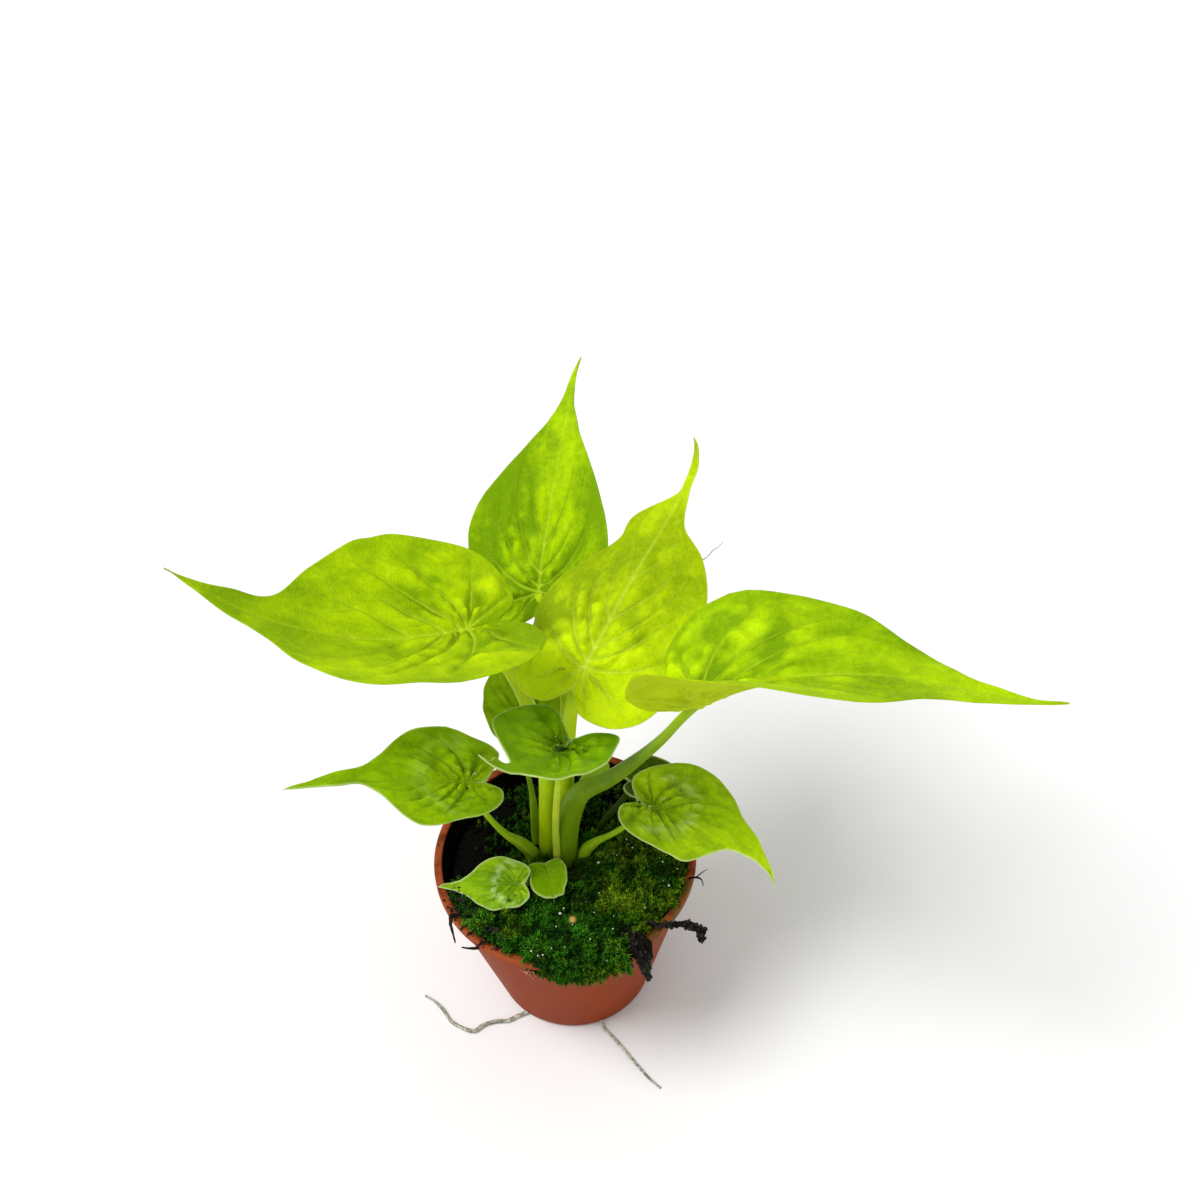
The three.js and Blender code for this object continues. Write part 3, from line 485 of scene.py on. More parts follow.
class Shader:
    """A material with one Principled surface, and the ways in which its nodes are added."""

    def __init__(self, name, **surface):
        self.material = bpy.data.materials.new(name)
        self.material.use_nodes = True
        self.tree = self.material.node_tree
        self.surface = self.tree.nodes["Principled BSDF"]
        self.place = self.node("ShaderNodeTexCoord", {}, {}, "Object")
        for key, value in surface.items():
            self.surface.inputs[key.replace("_", " ")].default_value = value

    def node(self, kind, settings, inputs, output=0):
        """Adds a node, sets its settings, feeds its inputs with values or links, and gives an output."""
        node = self.tree.nodes.new(kind)
        for key, value in settings.items():
            setattr(node, key, value)
        for key, value in inputs.items():
            self.feed(node.inputs[key], value)
        return Value(self, node.outputs[output])

    def feed(self, socket, value):
        """Links a value to a socket, or sets the socket to a number, colour or vector."""
        if isinstance(value, Value):
            self.tree.links.new(value.socket, socket)
        elif socket.type == "RGBA":
            socket.default_value = (*value, 1)
        else:
            socket.default_value = value

    def attribute(self, name):
        """A mask that is kept in the piece's mesh."""
        return self.node("ShaderNodeAttribute", dict(attribute_name=name), {}, "Fac")

    def noise(self, scale, detail, rough, place=None):
        """Smooth noise about 0.5, with a scale in lumps per metre."""
        return self.node("ShaderNodeTexNoise", {}, {
            "Vector": place or self.place, "Scale": scale, "Detail": detail, "Roughness": rough})

    def cells(self, scale):
        """Distance to the nearest edge between random cells, in cell widths."""
        return self.node("ShaderNodeTexVoronoi", dict(feature="DISTANCE_TO_EDGE"),
                         {"Vector": self.place, "Scale": scale}, "Distance")

    def split(self, axis):
        """The object's coordinate along X or Z, in metres."""
        return self.node("ShaderNodeSeparateXYZ", {}, {0: self.place}, axis)

    def stretched(self, scale):
        """The object's own coordinates, scaled by one number along each axis."""
        return self.node("ShaderNodeMapping", {}, {"Vector": self.place, "Scale": scale})

    def mix(self, share, low, high):
        """The colour that is the share of the way from low to high."""
        return self.node("ShaderNodeMix", dict(data_type="RGBA"), {0: share, 6: low, 7: high}, 2)

    def paint(self, color, roughness=None, bump=None, depth=0):
        """Feeds the surface's colour and roughness, and a Bump of a height in depths."""
        self.feed(self.surface.inputs["Base Color"], color)
        if roughness:
            self.feed(self.surface.inputs["Roughness"], roughness)
        if bump:
            normal = self.node("ShaderNodeBump", {}, {"Height": bump, "Distance": depth})
            self.feed(self.surface.inputs["Normal"], normal)
        return self.material


def outline(leaf):
    """The half outline: share of the length, share of the half width, and its vein's root."""
    tip, neck, lobe, full = (leaf[key] for key in ("tip", "neck", "lobe", "full"))
    drip = 1 - tip
    return np.array([
        (-leaf["joined"] * lobe, 0, 0), (-0.97 * lobe, 0.30, 0), (-0.90 * lobe, 0.62, 0),
        (-0.35 * lobe, 0.88, 0), (0.10, 1.00, 0.02), (0.26, 0.97, 0.10),
        (0.62 * tip, 0.78 + 0.16 * full, 0.26),
        (0.84 * tip, 0.47 + 0.27 * full, 0.44), (tip, neck, 0.60), (tip + 0.35 * drip, 0.52 * neck, 0.76),
        (tip + 0.7 * drip, 0.22 * neck, 0.89), (1, 0, 1),
    ])


def turn(leaf):
    """The rotation of a leaf's blade: roll about its length, then pitch, then azimuth."""
    euler = (Matrix.Rotation(math.radians(leaf["azimuth"]), 3, "Z")
             @ Matrix.Rotation(math.radians(-leaf["pitch"]), 3, "Y")
             @ Matrix.Rotation(math.radians(leaf["roll"]), 3, "X"))
    return np.array(euler)


def midrib(leaf):
    """Places and directions along, across and above at even stations of the midrib: its rise and its
    swing grow evenly along it, and as the power 1.5 of the way into the drip tip."""
    share = np.linspace(0, 1, MIDRIB_STEPS + 1)
    into = np.maximum(0, (share - 0.9 * leaf["tip"]) / (1 - 0.9 * leaf["tip"])) ** 1.5
    rise = np.radians(leaf["arch"] * share + leaf["tip_arch"] * into)
    swing = np.radians(leaf["sweep"] * share + leaf["tip_sweep"] * into)
    along = np.stack([np.cos(rise) * np.cos(swing), np.cos(rise) * np.sin(swing), np.sin(rise)], -1)
    across = np.stack([-np.sin(swing), np.cos(swing), 0 * swing], -1)
    steps = 0.5 * (along[1:] + along[:-1]) * leaf["length"] / MIDRIB_STEPS
    place = np.concatenate([np.zeros((1, 3)), np.cumsum(steps, 0)])
    return share, place, along, across, np.cross(along, across)


def bent(leaf, x, y, height):
    """The flat blade's points bent: each half follows an arc up from the midrib, the lobes one up
    behind the junction, both ride on the midrib's frame, and height is measured off the middle. The
    crease at the midrib is eased over a fiftieth of the width."""
    crease = leaf["width"] / 50
    share, place, along, across, above = midrib(leaf)
    part = np.clip(x / leaf["length"], 0, 1)
    at = lambda table: np.stack([np.interp(part, share, table[:, k]) for k in range(3)], -1)
    side = np.sign(y)
    kept = (1 - part + 1e-9) ** leaf["open"]
    fold = np.radians(leaf["fold"] + side * leaf["lean"]) * kept
    rate = np.radians(leaf["curl"]) * kept / (leaf["width"] / 2)
    reach = np.sqrt(y * y + crease * crease) - crease
    angle = (fold + rate * np.abs(y)) * reach / np.maximum(np.abs(y), 1e-9)
    out = arc(fold, rate, np.abs(y))[0]
    up = arc(fold, rate, reach)[1]
    behind = np.maximum(-x, 0)
    back_rate = math.radians(leaf["lift"]) / (leaf["lobe"] * leaf["length"])
    back, raised = arc(0 * behind, back_rate, behind)
    lean = back_rate * behind
    tall = height * np.cos(angle)
    points = (at(place) + at(across) * (side * (out - height * np.sin(angle)))[..., None]
              + at(above) * (up + raised + tall * np.cos(lean))[..., None]
              + at(along) * (tall * np.sin(lean) - back)[..., None])
    return points @ turn(leaf).T + np.array(leaf["at"], float)


def blade_grid(leaf):
    """The flow over a blade's grid, counted in spans at the midrib, the shares across, and the spots
    where the rows would meet the margin: rows lie along the side veins, which bow forward to the tip
    as the power 1.2 of the share, and are closest beside them."""
    lanes = VEIN_ENDS[:-2, None] + LANE * np.diff(VEIN_ENDS)[:-1, None]
    tail = VEIN_ENDS[-2] + (VEIN_ENDS[-1] - VEIN_ENDS[-2]) * np.linspace(0, 1, TIP_ROWS) ** 1.05
    flow = np.concatenate([lanes.reshape(-1), tail])
    side = np.linspace(0, 1, leaf["columns"] + 1) ** 1.15 * MARGIN_SHARE
    half = np.concatenate([side, [0.98, 0.992, 1]])
    share = np.concatenate([-half[:0:-1], half])
    flow, share = np.meshgrid(flow, share, indexing="ij")
    bow = 2.4 * smooth(flow, 2, 4.5) * (1 - smooth(flow, 5.5, 10.5))
    return flow, share, flow + bow * np.abs(share) ** 1.2


def flat_blade(leaf, spot, share):
    """The flat blade: each row runs straight from its vein's root on the midrib to the margin, which
    is moved out by the leaf's own millimetres, eased between its points, and by a little noise."""
    edge = catmull(outline(leaf), spot)
    size = leaf["length"] / GROWN_LENGTH
    calm = smooth(spot, 0.3, 1.5) * (1 - smooth(spot, 8.5, 10))
    half = edge[..., 1] * leaf["width"] / 2
    half = half + 0.35 * size * calm * lumps(spot * 1.6 + 9 * (share > 0), 0 * spot, len(leaf["name"]))
    moved = lambda side: catmull(np.array([0, *leaf[side], 0])[:, None], spot)[..., 0]
    half = np.maximum(half + np.where(share > 0, moved("left"), moved("right")), 0.25 * half)
    x = (edge[..., 2] + (edge[..., 0] - edge[..., 2]) * np.abs(share)) * leaf["length"]
    return x, share * half, half


def blade_relief(leaf, flow, spot, share, x, y, half):
    """The blade's relief in millimetres and its masks. The blade is quilted: between two veins it is
    puffed up as (4f(1 - f))^0.7, and along them as the same of even stretches, all fading away from
    the junction and at the midrib, and every vein is a groove with the section of a bell curve."""
    seed = len(leaf["name"])
    size = leaf["length"] / GROWN_LENGTH
    lane = np.clip(np.searchsorted(VEIN_ENDS, flow, side="right") - 1, 0, len(VEINS))
    wide = VEIN_ENDS[lane + 1] - VEIN_ENDS[lane]
    part = (flow - VEIN_ENDS[lane]) / wide
    last = lane == len(VEINS)
    number = lane + 11 * (share > 0)
    reach = np.hypot(x, y)
    near = np.exp(-(reach / (0.36 * leaf["length"])) ** 2)
    dome = (4 * part * (1 - part)) ** 0.7 * np.where(lane == 0, 0.6, 1) * np.where(last, 0.35, 1)
    shift = 0.37 * number + 0.55 * lumps(part * 2 + 3 * number, reach / 6, seed)
    stretch = (reach / (3.8 * size) + shift) % 1
    quilt = dome * (0.3 + 0.7 * (4 * stretch * (1 - stretch)) ** 0.7)
    uneven = 0.7 + 0.6 * lumps(part * 1.7 + 3 * number, reach / (6 * size) + 0.7 * number, 7 + seed)
    calm = (1 - smooth(np.abs(share), 0.8, 1)) * (1 - np.exp(-(y / (1.6 * size)) ** 2))
    blister = smooth(lumps(reach / (3.4 * size) + 2 * number, part * 2.2 + 5 * number, 23 + seed), -0.2, 0.6)
    puffed = quilt * (0.55 * uneven + 0.6 * blister) * calm * np.clip(reach / (4 * size), 0, 1)
    puffed = puffed * (0.12 + 1.9 * near)
    broad = lumps(x / (9 * size) + 3, y / (7 * size) + 5, 3 + seed)
    small = lumps(x / (2.6 * size) + 7, y / (2.2 * size) + 5, 13 + seed) * calm
    blotch = smooth(lumps(x / (6 * size) + 9, y / (3.6 * size) + 4, 33 + seed), 0, 0.5)
    between = np.minimum(part, 1 - part) * np.hypot(*spread_of(flow, x, y)) * wide
    veined = np.where((lane == 0) & (part < 0.5), 0, 1) * np.where(last & (part > 0.5), 0, 1)
    veined = veined * (1 - smooth(np.abs(share), 0.35, 0.97))
    line = np.exp(-(between / (0.34 * size ** 0.5)) ** 2) * veined
    # Painted shade along the vein grooves, stronger near the junction, and in the small dents, partly the
    # leaf's own deeper green
    valley_shade = np.exp(-(between / (1.1 * size)) ** 2) * veined * calm * (0.1 + 0.9 * near)
    valley_shade = valley_shade * np.clip(0.5 + 0.9 * lumps(reach / (4 * size) + 3 * number, part * 3, 43 + seed), 0, 1)
    rib = np.exp(-(y / (0.38 * size ** 0.5)) ** 2) * (1 - smooth(x / leaf["length"], 0.75, 1)) * (x > -0.5)
    edge = np.exp(-((1 - np.abs(share)) * half / 0.2) ** 2)
    flutter = lumps(spot * 1.2 + 9 * (share > 0), 0 * spot + 3, 5 + seed) * smooth(spot, 0.5, 2)
    height = leaf["puff"] * (puffed + 0.3 * broad * (1 - share ** 2) + 0.12 * small * (0.3 + 1.8 * near))
    height = height + 0.45 * size * flutter * np.abs(share) ** 3
    height = height - (0.12 * line * (0.3 + 0.7 * near) + 0.22 * rib) * size * leaf["veined"]
    # The spots: painted shade and painted light where the blade lies in shade or in light, partly the leaf's
    # own darker and lighter zones
    dark = sum(depth * np.exp(-((x - u) / long) ** 2 - ((y - v) / across) ** 2)
               for u, v, long, across, depth in leaf["spots"]) + 0 * x
    glint_ring = np.exp(-((reach / (0.26 * leaf["length"]) - 1) / 0.16) ** 2) * smooth(x, -1, 1)
    masks = dict(
        # Painted light: the puffs, the broad swells and the small bumps near the junction are made lighter on
        # their tops, over random blotches, less the spots' painted shade and light
        tone_and_shading=0.5 * np.clip(puffed, 0, 1.6) + 0.15 * broad + 0.25 * blotch + 0.5 * small * near - dark,
        valley_shade=leaf["veined"] * np.clip(valley_shade + 0.6 * (small < -0.3) * -small * near * calm, 0, 1),
        pale=leaf["veined"] * (line * (0.2 + 0.6 * near ** 2) + rib * (0.3 + 0.4 * near)),
        # The margin colour also paints a pale highlight in the ring round the junction on the shining leaves
        rim=edge * leaf["rim"] + 0.5 * leaf["gloss"] ** 2 * glint_ring * smooth(small, -0.3, 0.3),
        soot=leaf["litter"] / 60 * np.exp(-(reach / (0.1 * leaf["length"])) ** 2),
        gloss=leaf["gloss"] * (0.7 * glint_ring + 0.5 * np.clip(puffed, 0, 1)),
    )
    return height, masks


def spread_of(flow, x, y):
    """How far the flat blade's points move for one unit of flow, along the rows' normal."""
    step = np.gradient(flow, axis=0)
    return np.gradient(x, axis=0) / step, np.gradient(y, axis=0) / step


def blade_mesh(leaf, thickness, relief):
    """Both faces of a blade: the middle, raised by its relief, goes up and down by half the
    thickness, which ends in a half round at the margin and thins out into the tip. Under it the
    midrib and the veins stand out as ridges. The first row is folded on itself between the lobes."""
    flow, share, spot = blade_grid(leaf)
    x, y, half = flat_blade(leaf, spot, share)
    height, masks = blade_relief(leaf, flow, spot, share, x, y, half)
    round_off = half_round(np.abs(share), MARGIN_SHARE)
    thick = np.minimum(0.5 * thickness, 0.25 * half + 0.02) * round_off
    taper = np.clip(1 - x / leaf["length"], 0, 1) ** 1.2 * leaf["radii"][-1]
    ridge = (0.8 * taper * np.exp(-(y / (0.15 + 0.8 * taper)) ** 2) + 0.12 * masks["pale"]) * round_off
    ridge = np.minimum(ridge, half * 0.6)
    top = bent(leaf, x, y, relief * height + thick)
    low = bent(leaf, x, y, relief * height - thick - ridge)
    points = np.concatenate([top, low[:, -2:0:-1]], axis=1)
    masks["under"] = 0 * share
    masks = {key: np.concatenate([mask, mask[:, -2:0:-1] + (key == "under")], axis=1)
             for key, mask in masks.items()}
    return shell(points, masks)


def blade_material(leaf):
    """Light and dark patches, painted light on the puffs and painted shade in the valleys and dents, painted
    shade and light from the spots, pale veins, midrib and margin, a painted highlight in a ring on the
    shining leaves, a fine net of small veins, an olive underside and a coat that shines in patches."""
    shader = Shader(f"blade {leaf['name']}", Roughness=0.5, Specular_IOR_Level=0.04, Coat_Roughness=0.3,
                    Subsurface_Weight=0.2, Subsurface_Scale=0.0015, Subsurface_Radius=(0.7, 1.0, 0.15))
    tone_and_shading = shader.noise(130, 2, 0.55) * 0.7 + shader.noise(700, 3, 0.65) * 0.7 - 0.42
    # The mask adds painted light on the puffs and bumps, and the spots' painted shade and light, to the random
    # patches
    tone_and_shading = tone_and_shading + shader.attribute("tone_and_shading") * 0.9
    net = shader.cells(620).step(0, 0.09)
    color = shader.mix(tone_and_shading.clamp(), linear(leaf["dark"]), linear(leaf["light"]))
    # Painted shade in the vein grooves and dents, towards a deeper green
    color = shader.mix((shader.attribute("valley_shade") * 0.7).clamp(), color, linear(leaf["dark"], 0.78))
    color = shader.mix((1 - net) * 0.1, color, linear(leaf["vein"]))
    color = shader.mix(shader.attribute("under") * 0.85, color, linear(leaf["under"]))
    color = shader.mix(shader.attribute("pale").clamp(), color, linear(leaf["vein"]))
    # The pale margin, and on the shining leaves the painted highlight of the ring
    color = shader.mix(shader.attribute("rim").clamp(), color, linear(leaf["margin"]))
    dirt = shader.attribute("soot") * shader.noise(700, 3, 0.7).step(0.42, 0.56)
    color = shader.mix(dirt.clamp(), color, linear((0.1, 0.17, 0.03)))
    bump = shader.noise(1500, 2, 0.6) * 0.4 + net * 0.35 + shader.noise(330, 2, 0.5)
    if leaf["gloss"]:
        wet = shader.attribute("gloss") * shader.noise(420, 2, 0.6).step(0.4, 0.62)
        shader.feed(shader.surface.inputs["Coat Weight"], wet.clamp())
    return shader.paint(color, 0.4 + shader.noise(260, 2, 0.5) * 0.25, bump, 0.00018)


def stalk_route(leaf, lift):
    """The stalk's curve with even steps and its radii. It ends under the blade's junction."""
    droop = leaf["radii"][-1] * max(0, math.sin(math.radians(-leaf["fold"])))
    under = -CAD_BLADE / 2 / math.cos(math.radians(leaf["fold"])) - SEAT_GAP - droop
    seat = np.array(leaf["at"], float) + turn(leaf) @ np.array([0, 0, under + lift])
    foot = (*leaf["route"][0], STEM_TOP + SEAT_GAP)
    return np.array([foot, *leaf["route"][1:], seat], float)


def swept(points, rows):
    """A curve through points in equal steps, with its directions and two upright normals."""
    fine = catmull(points, np.linspace(0, len(points) - 1, CURVE_SAMPLES))
    run = np.concatenate([[0], np.cumsum(np.linalg.norm(np.diff(fine, axis=0), axis=1))])
    share = np.linspace(0, 1, rows)
    middle = np.stack([np.interp(share * run[-1], run, fine[:, k]) for k in range(3)], -1)
    along = unit(np.gradient(middle, axis=0))
    side = unit(np.cross(along, np.broadcast_to([0.12, -1, 0.05], along.shape)))
    return share, middle, along, side, np.cross(side, along), run[-1]


def eased(share, radii):
    """The radius at each share of the way, between radii at even steps."""
    return np.interp(share, np.linspace(0, 1, len(radii)), radii)


def tube(middle, side, front, radius, angle):
    """Rings round a path, at middle + radius * (cos(angle) * side + sin(angle) * front), and its two
    end points, which close them."""
    out = np.cos(angle)[..., None] * side[:, None] + np.sin(angle)[..., None] * front[:, None]
    rings = middle[:, None] + radius[..., None] * out
    cap = lambda end: np.broadcast_to(middle[end], rings[:1].shape)
    return np.concatenate([cap(0), rings, cap(-1)])


def stalk_mesh(leaf, rows=90, sides=36):
    """A tube along the stalk's curve. Its radius is eased through the given ones, flares into the
    blade, and over the sheath's length swells beside a seam where one edge laps over the other."""
    share, middle, _, side, front, length = swept(stalk_route(leaf, STALK_LIFT), rows)
    radius = eased(share, leaf["radii"]) * (1 + 0.18 * np.exp(-((1 - share) * length / 1.6) ** 2))
    angle, share = around(sides), share[:, None]
    run = np.clip(share / max(leaf["sheath"], 0.01), 0, 1)
    seam_at = np.radians(leaf["seam_from"] + (leaf["seam_to"] - leaf["seam_from"]) * run)
    turned = (angle - seam_at + np.pi) % (2 * np.pi) - np.pi
    sheathed = (1 - smooth(share, 0.6 * leaf["sheath"], leaf["sheath"] + 0.02)) * (leaf["sheath"] > 0)
    lap = 0.16 * np.exp(-((turned + 0.3) / 0.28) ** 2) - 0.16 * np.exp(-((turned - 0.12) / 0.16) ** 2)
    ribs = 0.012 * np.sin(11 * angle + 3 * share)
    points = tube(middle, side, front, radius[:, None] * (1 + ribs + lap * sheathed), angle)
    up, out = turn(leaf)[:, 2], points[-2] - middle[-1]
    points[-2] = middle[-1] + out - (out @ up)[:, None] * up
    points[1, :, 2] = STEM_TOP + SEAT_GAP
    masks = dict(seam=np.exp(-((turned - 0.12) / 0.2) ** 2) * sheathed, high=0 * turned + share)
    return shell(points, {key: mask[[0, *range(rows), -1]] for key, mask in masks.items()})


def stalk_material(leaf):
    """Fine lines along the stalk, a pale seam, and a lighter top."""
    shader = Shader(f"stalk {leaf['name']}", Roughness=0.45, Specular_IOR_Level=0.12,
                    Subsurface_Weight=0.2, Subsurface_Scale=0.002, Subsurface_Radius=(0.7, 1.0, 0.2))
    lines = shader.noise(1.0, 2, 0.5, shader.stretched((1500, 1500, 60)))
    patch = shader.noise(160, 2, 0.5)
    share = (lines * 0.6 + patch * 0.8 - 0.2).clamp()
    color = shader.mix(share, linear(leaf["stalk"], 0.82), linear(leaf["stalk"], 1.12))
    color = shader.mix(shader.attribute("seam") * 0.7, color, linear(leaf["stripe"]))
    color = shader.mix(shader.attribute("high").step(0.6, 1) * 0.4, color, linear(leaf["light"]))
    return shader.paint(color, 0.3 + patch * 0.25, lines, 0.0001)


def sheath_wing(leaf):
    """The free edge of a sheath, a thin sheet that stands up from the stalk: as wide as the smooth step
    of how far it is along the wing, with a rounded ear at its end, and bent back as the square of the
    width."""
    share, middle, along, *_ = swept(stalk_route(leaf, STALK_LIFT), 241)
    keep = (share > WING_SPAN[0]) & (share < WING_SPAN[1])
    middle, along, radius = middle[keep], along[keep], eased(share, leaf["radii"])[keep][:, None]
    up = unit(WING_SIDE - along * (along @ WING_SIDE)[:, None])
    facing = np.cross(along, up)
    run = np.linspace(0, 1, len(middle))[:, None]
    ends = half_round(run, 0.93) * smooth(run, 0, 0.08)
    wide = ends * (WING_WIDTH * smooth(run, 0, 0.5) + WING_EAR * np.exp(-((run - 0.93) / 0.06) ** 2))
    part = np.linspace(0, 1, 25)[None]
    thick = WING_THICK * ends * half_round(part, 0.9)
    rise = 0.6 * radius + (0.4 * radius + wide) * part
    back = 0.35 * radius + 0.15 * ((0.4 * radius + wide) * part) ** 2
    sheet = middle[:, None] + up[:, None] * rise[..., None]
    near, far = (sheet - facing[:, None] * (back + side * thick)[..., None] for side in (-1, 1))
    points = np.concatenate([near, far[:, -2:0:-1]], axis=1)
    plain = 0 * points[..., 0]
    return shell(points, dict(seam=plain, high=plain))


def wall_radius(height):
    """The radius of the pot's outer wall at a height."""
    return BASE_RADIUS + WALL_SLOPE * height


def pot_profile():
    """The pot's section from the middle of its foot, up its wall, round the bead and down inside."""
    under = POT_HEIGHT - BEAD_HEIGHT
    outside = [(wall_radius(z), z) for z in np.linspace(1, under - BEAD_DEPTH - 0.4, 14)]
    bead = [(RIM_RADIUS + LIP_ROUND * (math.cos(a) - 1), POT_HEIGHT + LIP_ROUND * (math.sin(a) - 1))
            for a in np.radians((0, 30, 60, 90))]
    inside = [(wall_radius(z) - POT_WALL, z) for z in (POT_HEIGHT - 0.15, 40, 30, 20, 10, POT_FLOOR + 1)]
    return np.array([
        (0, 0), (BASE_RADIUS - 4, 0), (BASE_RADIUS - 1.2, 0), (BASE_RADIUS - 0.55, 0.12),
        (BASE_RADIUS - 0.1, 0.5), *outside, (wall_radius(under) + 0.05, under - BEAD_DEPTH),
        (RIM_RADIUS - 0.2, under - 0.1), (RIM_RADIUS - 0.02, under + 0.15), (RIM_RADIUS, under + 0.5), *bead,
        (wall_radius(POT_HEIGHT) - POT_WALL + 0.25, POT_HEIGHT), *inside,
        (wall_radius(POT_FLOOR) - 2, POT_FLOOR), (0, POT_FLOOR),
    ])


def pot_mesh():
    """The pot's section turned round the upright axis."""
    radius, height = pot_profile().T[..., None]
    angle = around(POT_SIDES)
    return shell(np.stack([radius * np.cos(angle), radius * np.sin(angle), height + 0 * angle], -1))


def pot_material(color):
    """Dull moulded plastic: faint rings, dust and stains low and at the rim, a lighter band of painted light
    along the top of the rim, green algae at the right, and the inside painted nearly black below the bead
    as shade, in part soil stain."""
    shader = Shader("terracotta plastic", Roughness=0.55, Specular_IOR_Level=0.06)
    across, high = shader.split("X"), shader.split("Z")
    cloud = shader.noise(70, 4, 0.6)
    fine = shader.noise(900, 3, 0.6)
    rings = shader.noise(1, 1, 0.4, shader.stretched((40, 40, 900)))
    grime = high.step(0.0425, 0.045) * shader.noise(240, 4, 0.7).step(0.46, 0.6)
    algae = across.step(0.012, 0.022) * high.step(0.024, 0.04) * shader.noise(260, 4, 0.7).step(0.42, 0.6)
    dust = shader.noise(330, 4, 0.75).step(0.6, 0.75) * (1 - high.step(0.004, 0.02))
    flat = shader.node("ShaderNodeVectorMath", dict(operation="MULTIPLY"), {0: shader.place, 1: (1, 1, 0)})
    far = shader.node("ShaderNodeVectorMath", dict(operation="LENGTH"), {0: flat}, "Value")
    # Painted shade, in part soil stain: the inside of the wall goes nearly black below the bead
    inside = 1 - (far - high * WALL_SLOPE).step(0.0171, 0.0176)
    dull, bright = ([share * part for part in color] for share in (0.72, 1.12))
    base = shader.mix((cloud * 1.3 - 0.25 + rings * 0.2).clamp(), dull, bright)
    # The lighter orange band along the top of the rim is painted light on its lit top
    for share, stain_and_shading in ((high.step(0.0425, 0.0455) * 0.6, (0.66, 0.33, 0.18)),
                         (grime * 0.6, (0.2, 0.11, 0.07)), (algae * 0.75, (0.36, 0.37, 0.16)),
                         (dust * 0.35, (0.42, 0.3, 0.22)),
                         (inside * (1 - high.step(0.0447, 0.0456)), (0.03, 0.02, 0.018))):
        base = shader.mix(share, base, linear(stain_and_shading))
    return shader.paint(base, 0.42 + cloud * 0.25, fine * 0.4 + rings * 0.3 + cloud, 0.00012)


def soil_material(name):
    """Wet dark mix: near black, with brown crumbs and grains from fine noise."""
    shader = Shader(name, Roughness=0.75, Specular_IOR_Level=0.08)
    grain = shader.noise(900, 4, 0.7)
    lump = shader.noise(260, 3, 0.6)
    color = shader.mix((grain * 1.6 - 0.6).clamp(), linear((0.01, 0.012, 0.008)), linear((0.09, 0.075, 0.05)))
    return shader.paint(color, 0.55 + grain * 0.4, grain + lump * 1.6, 0.0009)


def moss_material(name, tall):
    """Green that goes from black at the foot to yellow-green at the tips, patchy over the mat."""
    shader = Shader(name, Roughness=0.8, Specular_IOR_Level=0.08)
    patch = shader.noise(110, 3, 0.6) + shader.split("X").step(0, 0.024) * 0.14 - 0.1
    fine = shader.noise(1100, 2, 0.6)
    deep = shader.mix(patch.step(0.38, 0.62), linear((0.01, 0.09, 0.01)), linear((0.1, 0.19, 0.02)))
    tip = shader.mix(patch.step(0.42, 0.64), linear((0.27, 0.55, 0.1)), linear((0.62, 0.74, 0.12)))
    high = shader.attribute("high") if tall else fine.step(0.45, 0.8) * 0.5
    color = shader.mix(high.clamp(), deep, tip)
    return shader.paint(color, 0.6 + fine * 0.3, fine, 0.0005)


def scattered(piece, count, draw, wanted):
    """Random places in millimetres on a piece's triangles, as many on each as its area times its
    wanted share, which is worked out from its middle and its normal, and the normals there."""
    mesh = piece.data
    points = np.empty(len(mesh.vertices) * 3, np.float32)
    mesh.vertices.foreach_get("co", points)
    mesh.calc_loop_triangles()
    corners = np.empty(len(mesh.loop_triangles) * 3, np.int32)
    mesh.loop_triangles.foreach_get("vertices", corners)
    triangles = points.reshape(-1, 3)[corners.reshape(-1, 3)].astype(float) / MM
    normals = np.cross(triangles[:, 1] - triangles[:, 0], triangles[:, 2] - triangles[:, 0])
    areas, normals = 0.5 * np.linalg.norm(normals, axis=1), unit(normals)
    weight = areas * wanted(triangles.mean(1), normals)
    picked = draw.choice(len(areas), count, p=weight / weight.sum())
    a, b = draw.random((2, count, 1))
    flip = a + b > 1
    a, b = np.where(flip, 1 - a, a), np.where(flip, 1 - b, b)
    corner, second, third = triangles[picked].transpose(1, 0, 2)
    return corner + a * (second - corner) + b * (third - corner), normals[picked]


def leaflets(foot, axis, tall, wide, draw, number):
    """Moss shoots: each is a spindle of short three-sided spikes that lean out from the shoot's axis
    by golden-angle turns, from low on it to its top. Gives the height of each corner as well."""
    count = len(foot)
    level = (np.arange(number) + 0.3) / number
    spin = 2.4 * np.arange(number)[None] + draw.uniform(0, 6.28, (count, 1))
    helper = unit(draw.normal(size=(count, 3)))
    side = unit(np.cross(axis, helper))
    front = np.cross(axis, side)
    out = np.cos(spin)[..., None] * side[:, None] + np.sin(spin)[..., None] * front[:, None]
    lean = (0.95 - 0.75 * level)[None, :, None]
    root = foot[:, None] + axis[:, None] * (tall[:, None] * 0.75 * level)[..., None]
    tip = root + unit(axis[:, None] + lean * out) * (wide[:, None] * (1.1 - 0.3 * level))[..., None]
    across = np.cross(out, np.broadcast_to(axis[:, None], out.shape)) * (0.16 * wide)[:, None, None]
    rise = axis[:, None] * (0.14 * wide)[:, None, None]
    points = np.stack([root - across - rise, root + across - rise, root + rise * 1.6, tip], 2).reshape(-1, 3)
    high = np.stack([level * 0.6, level * 0.6, level * 0.6, 0.35 + level * 0.65], -1)
    faces = repeated([(0, 1, 3), (1, 2, 3), (2, 0, 3), (0, 2, 1)], 4, count * number)
    return points, faces, np.tile(high.reshape(-1), count)


def repeated(faces, corners, count):
    """The faces of one shape with so many corners, for as many copies of it in a row."""
    return (np.array(faces)[None] + corners * np.arange(count)[:, None, None]).reshape(-1, 3)


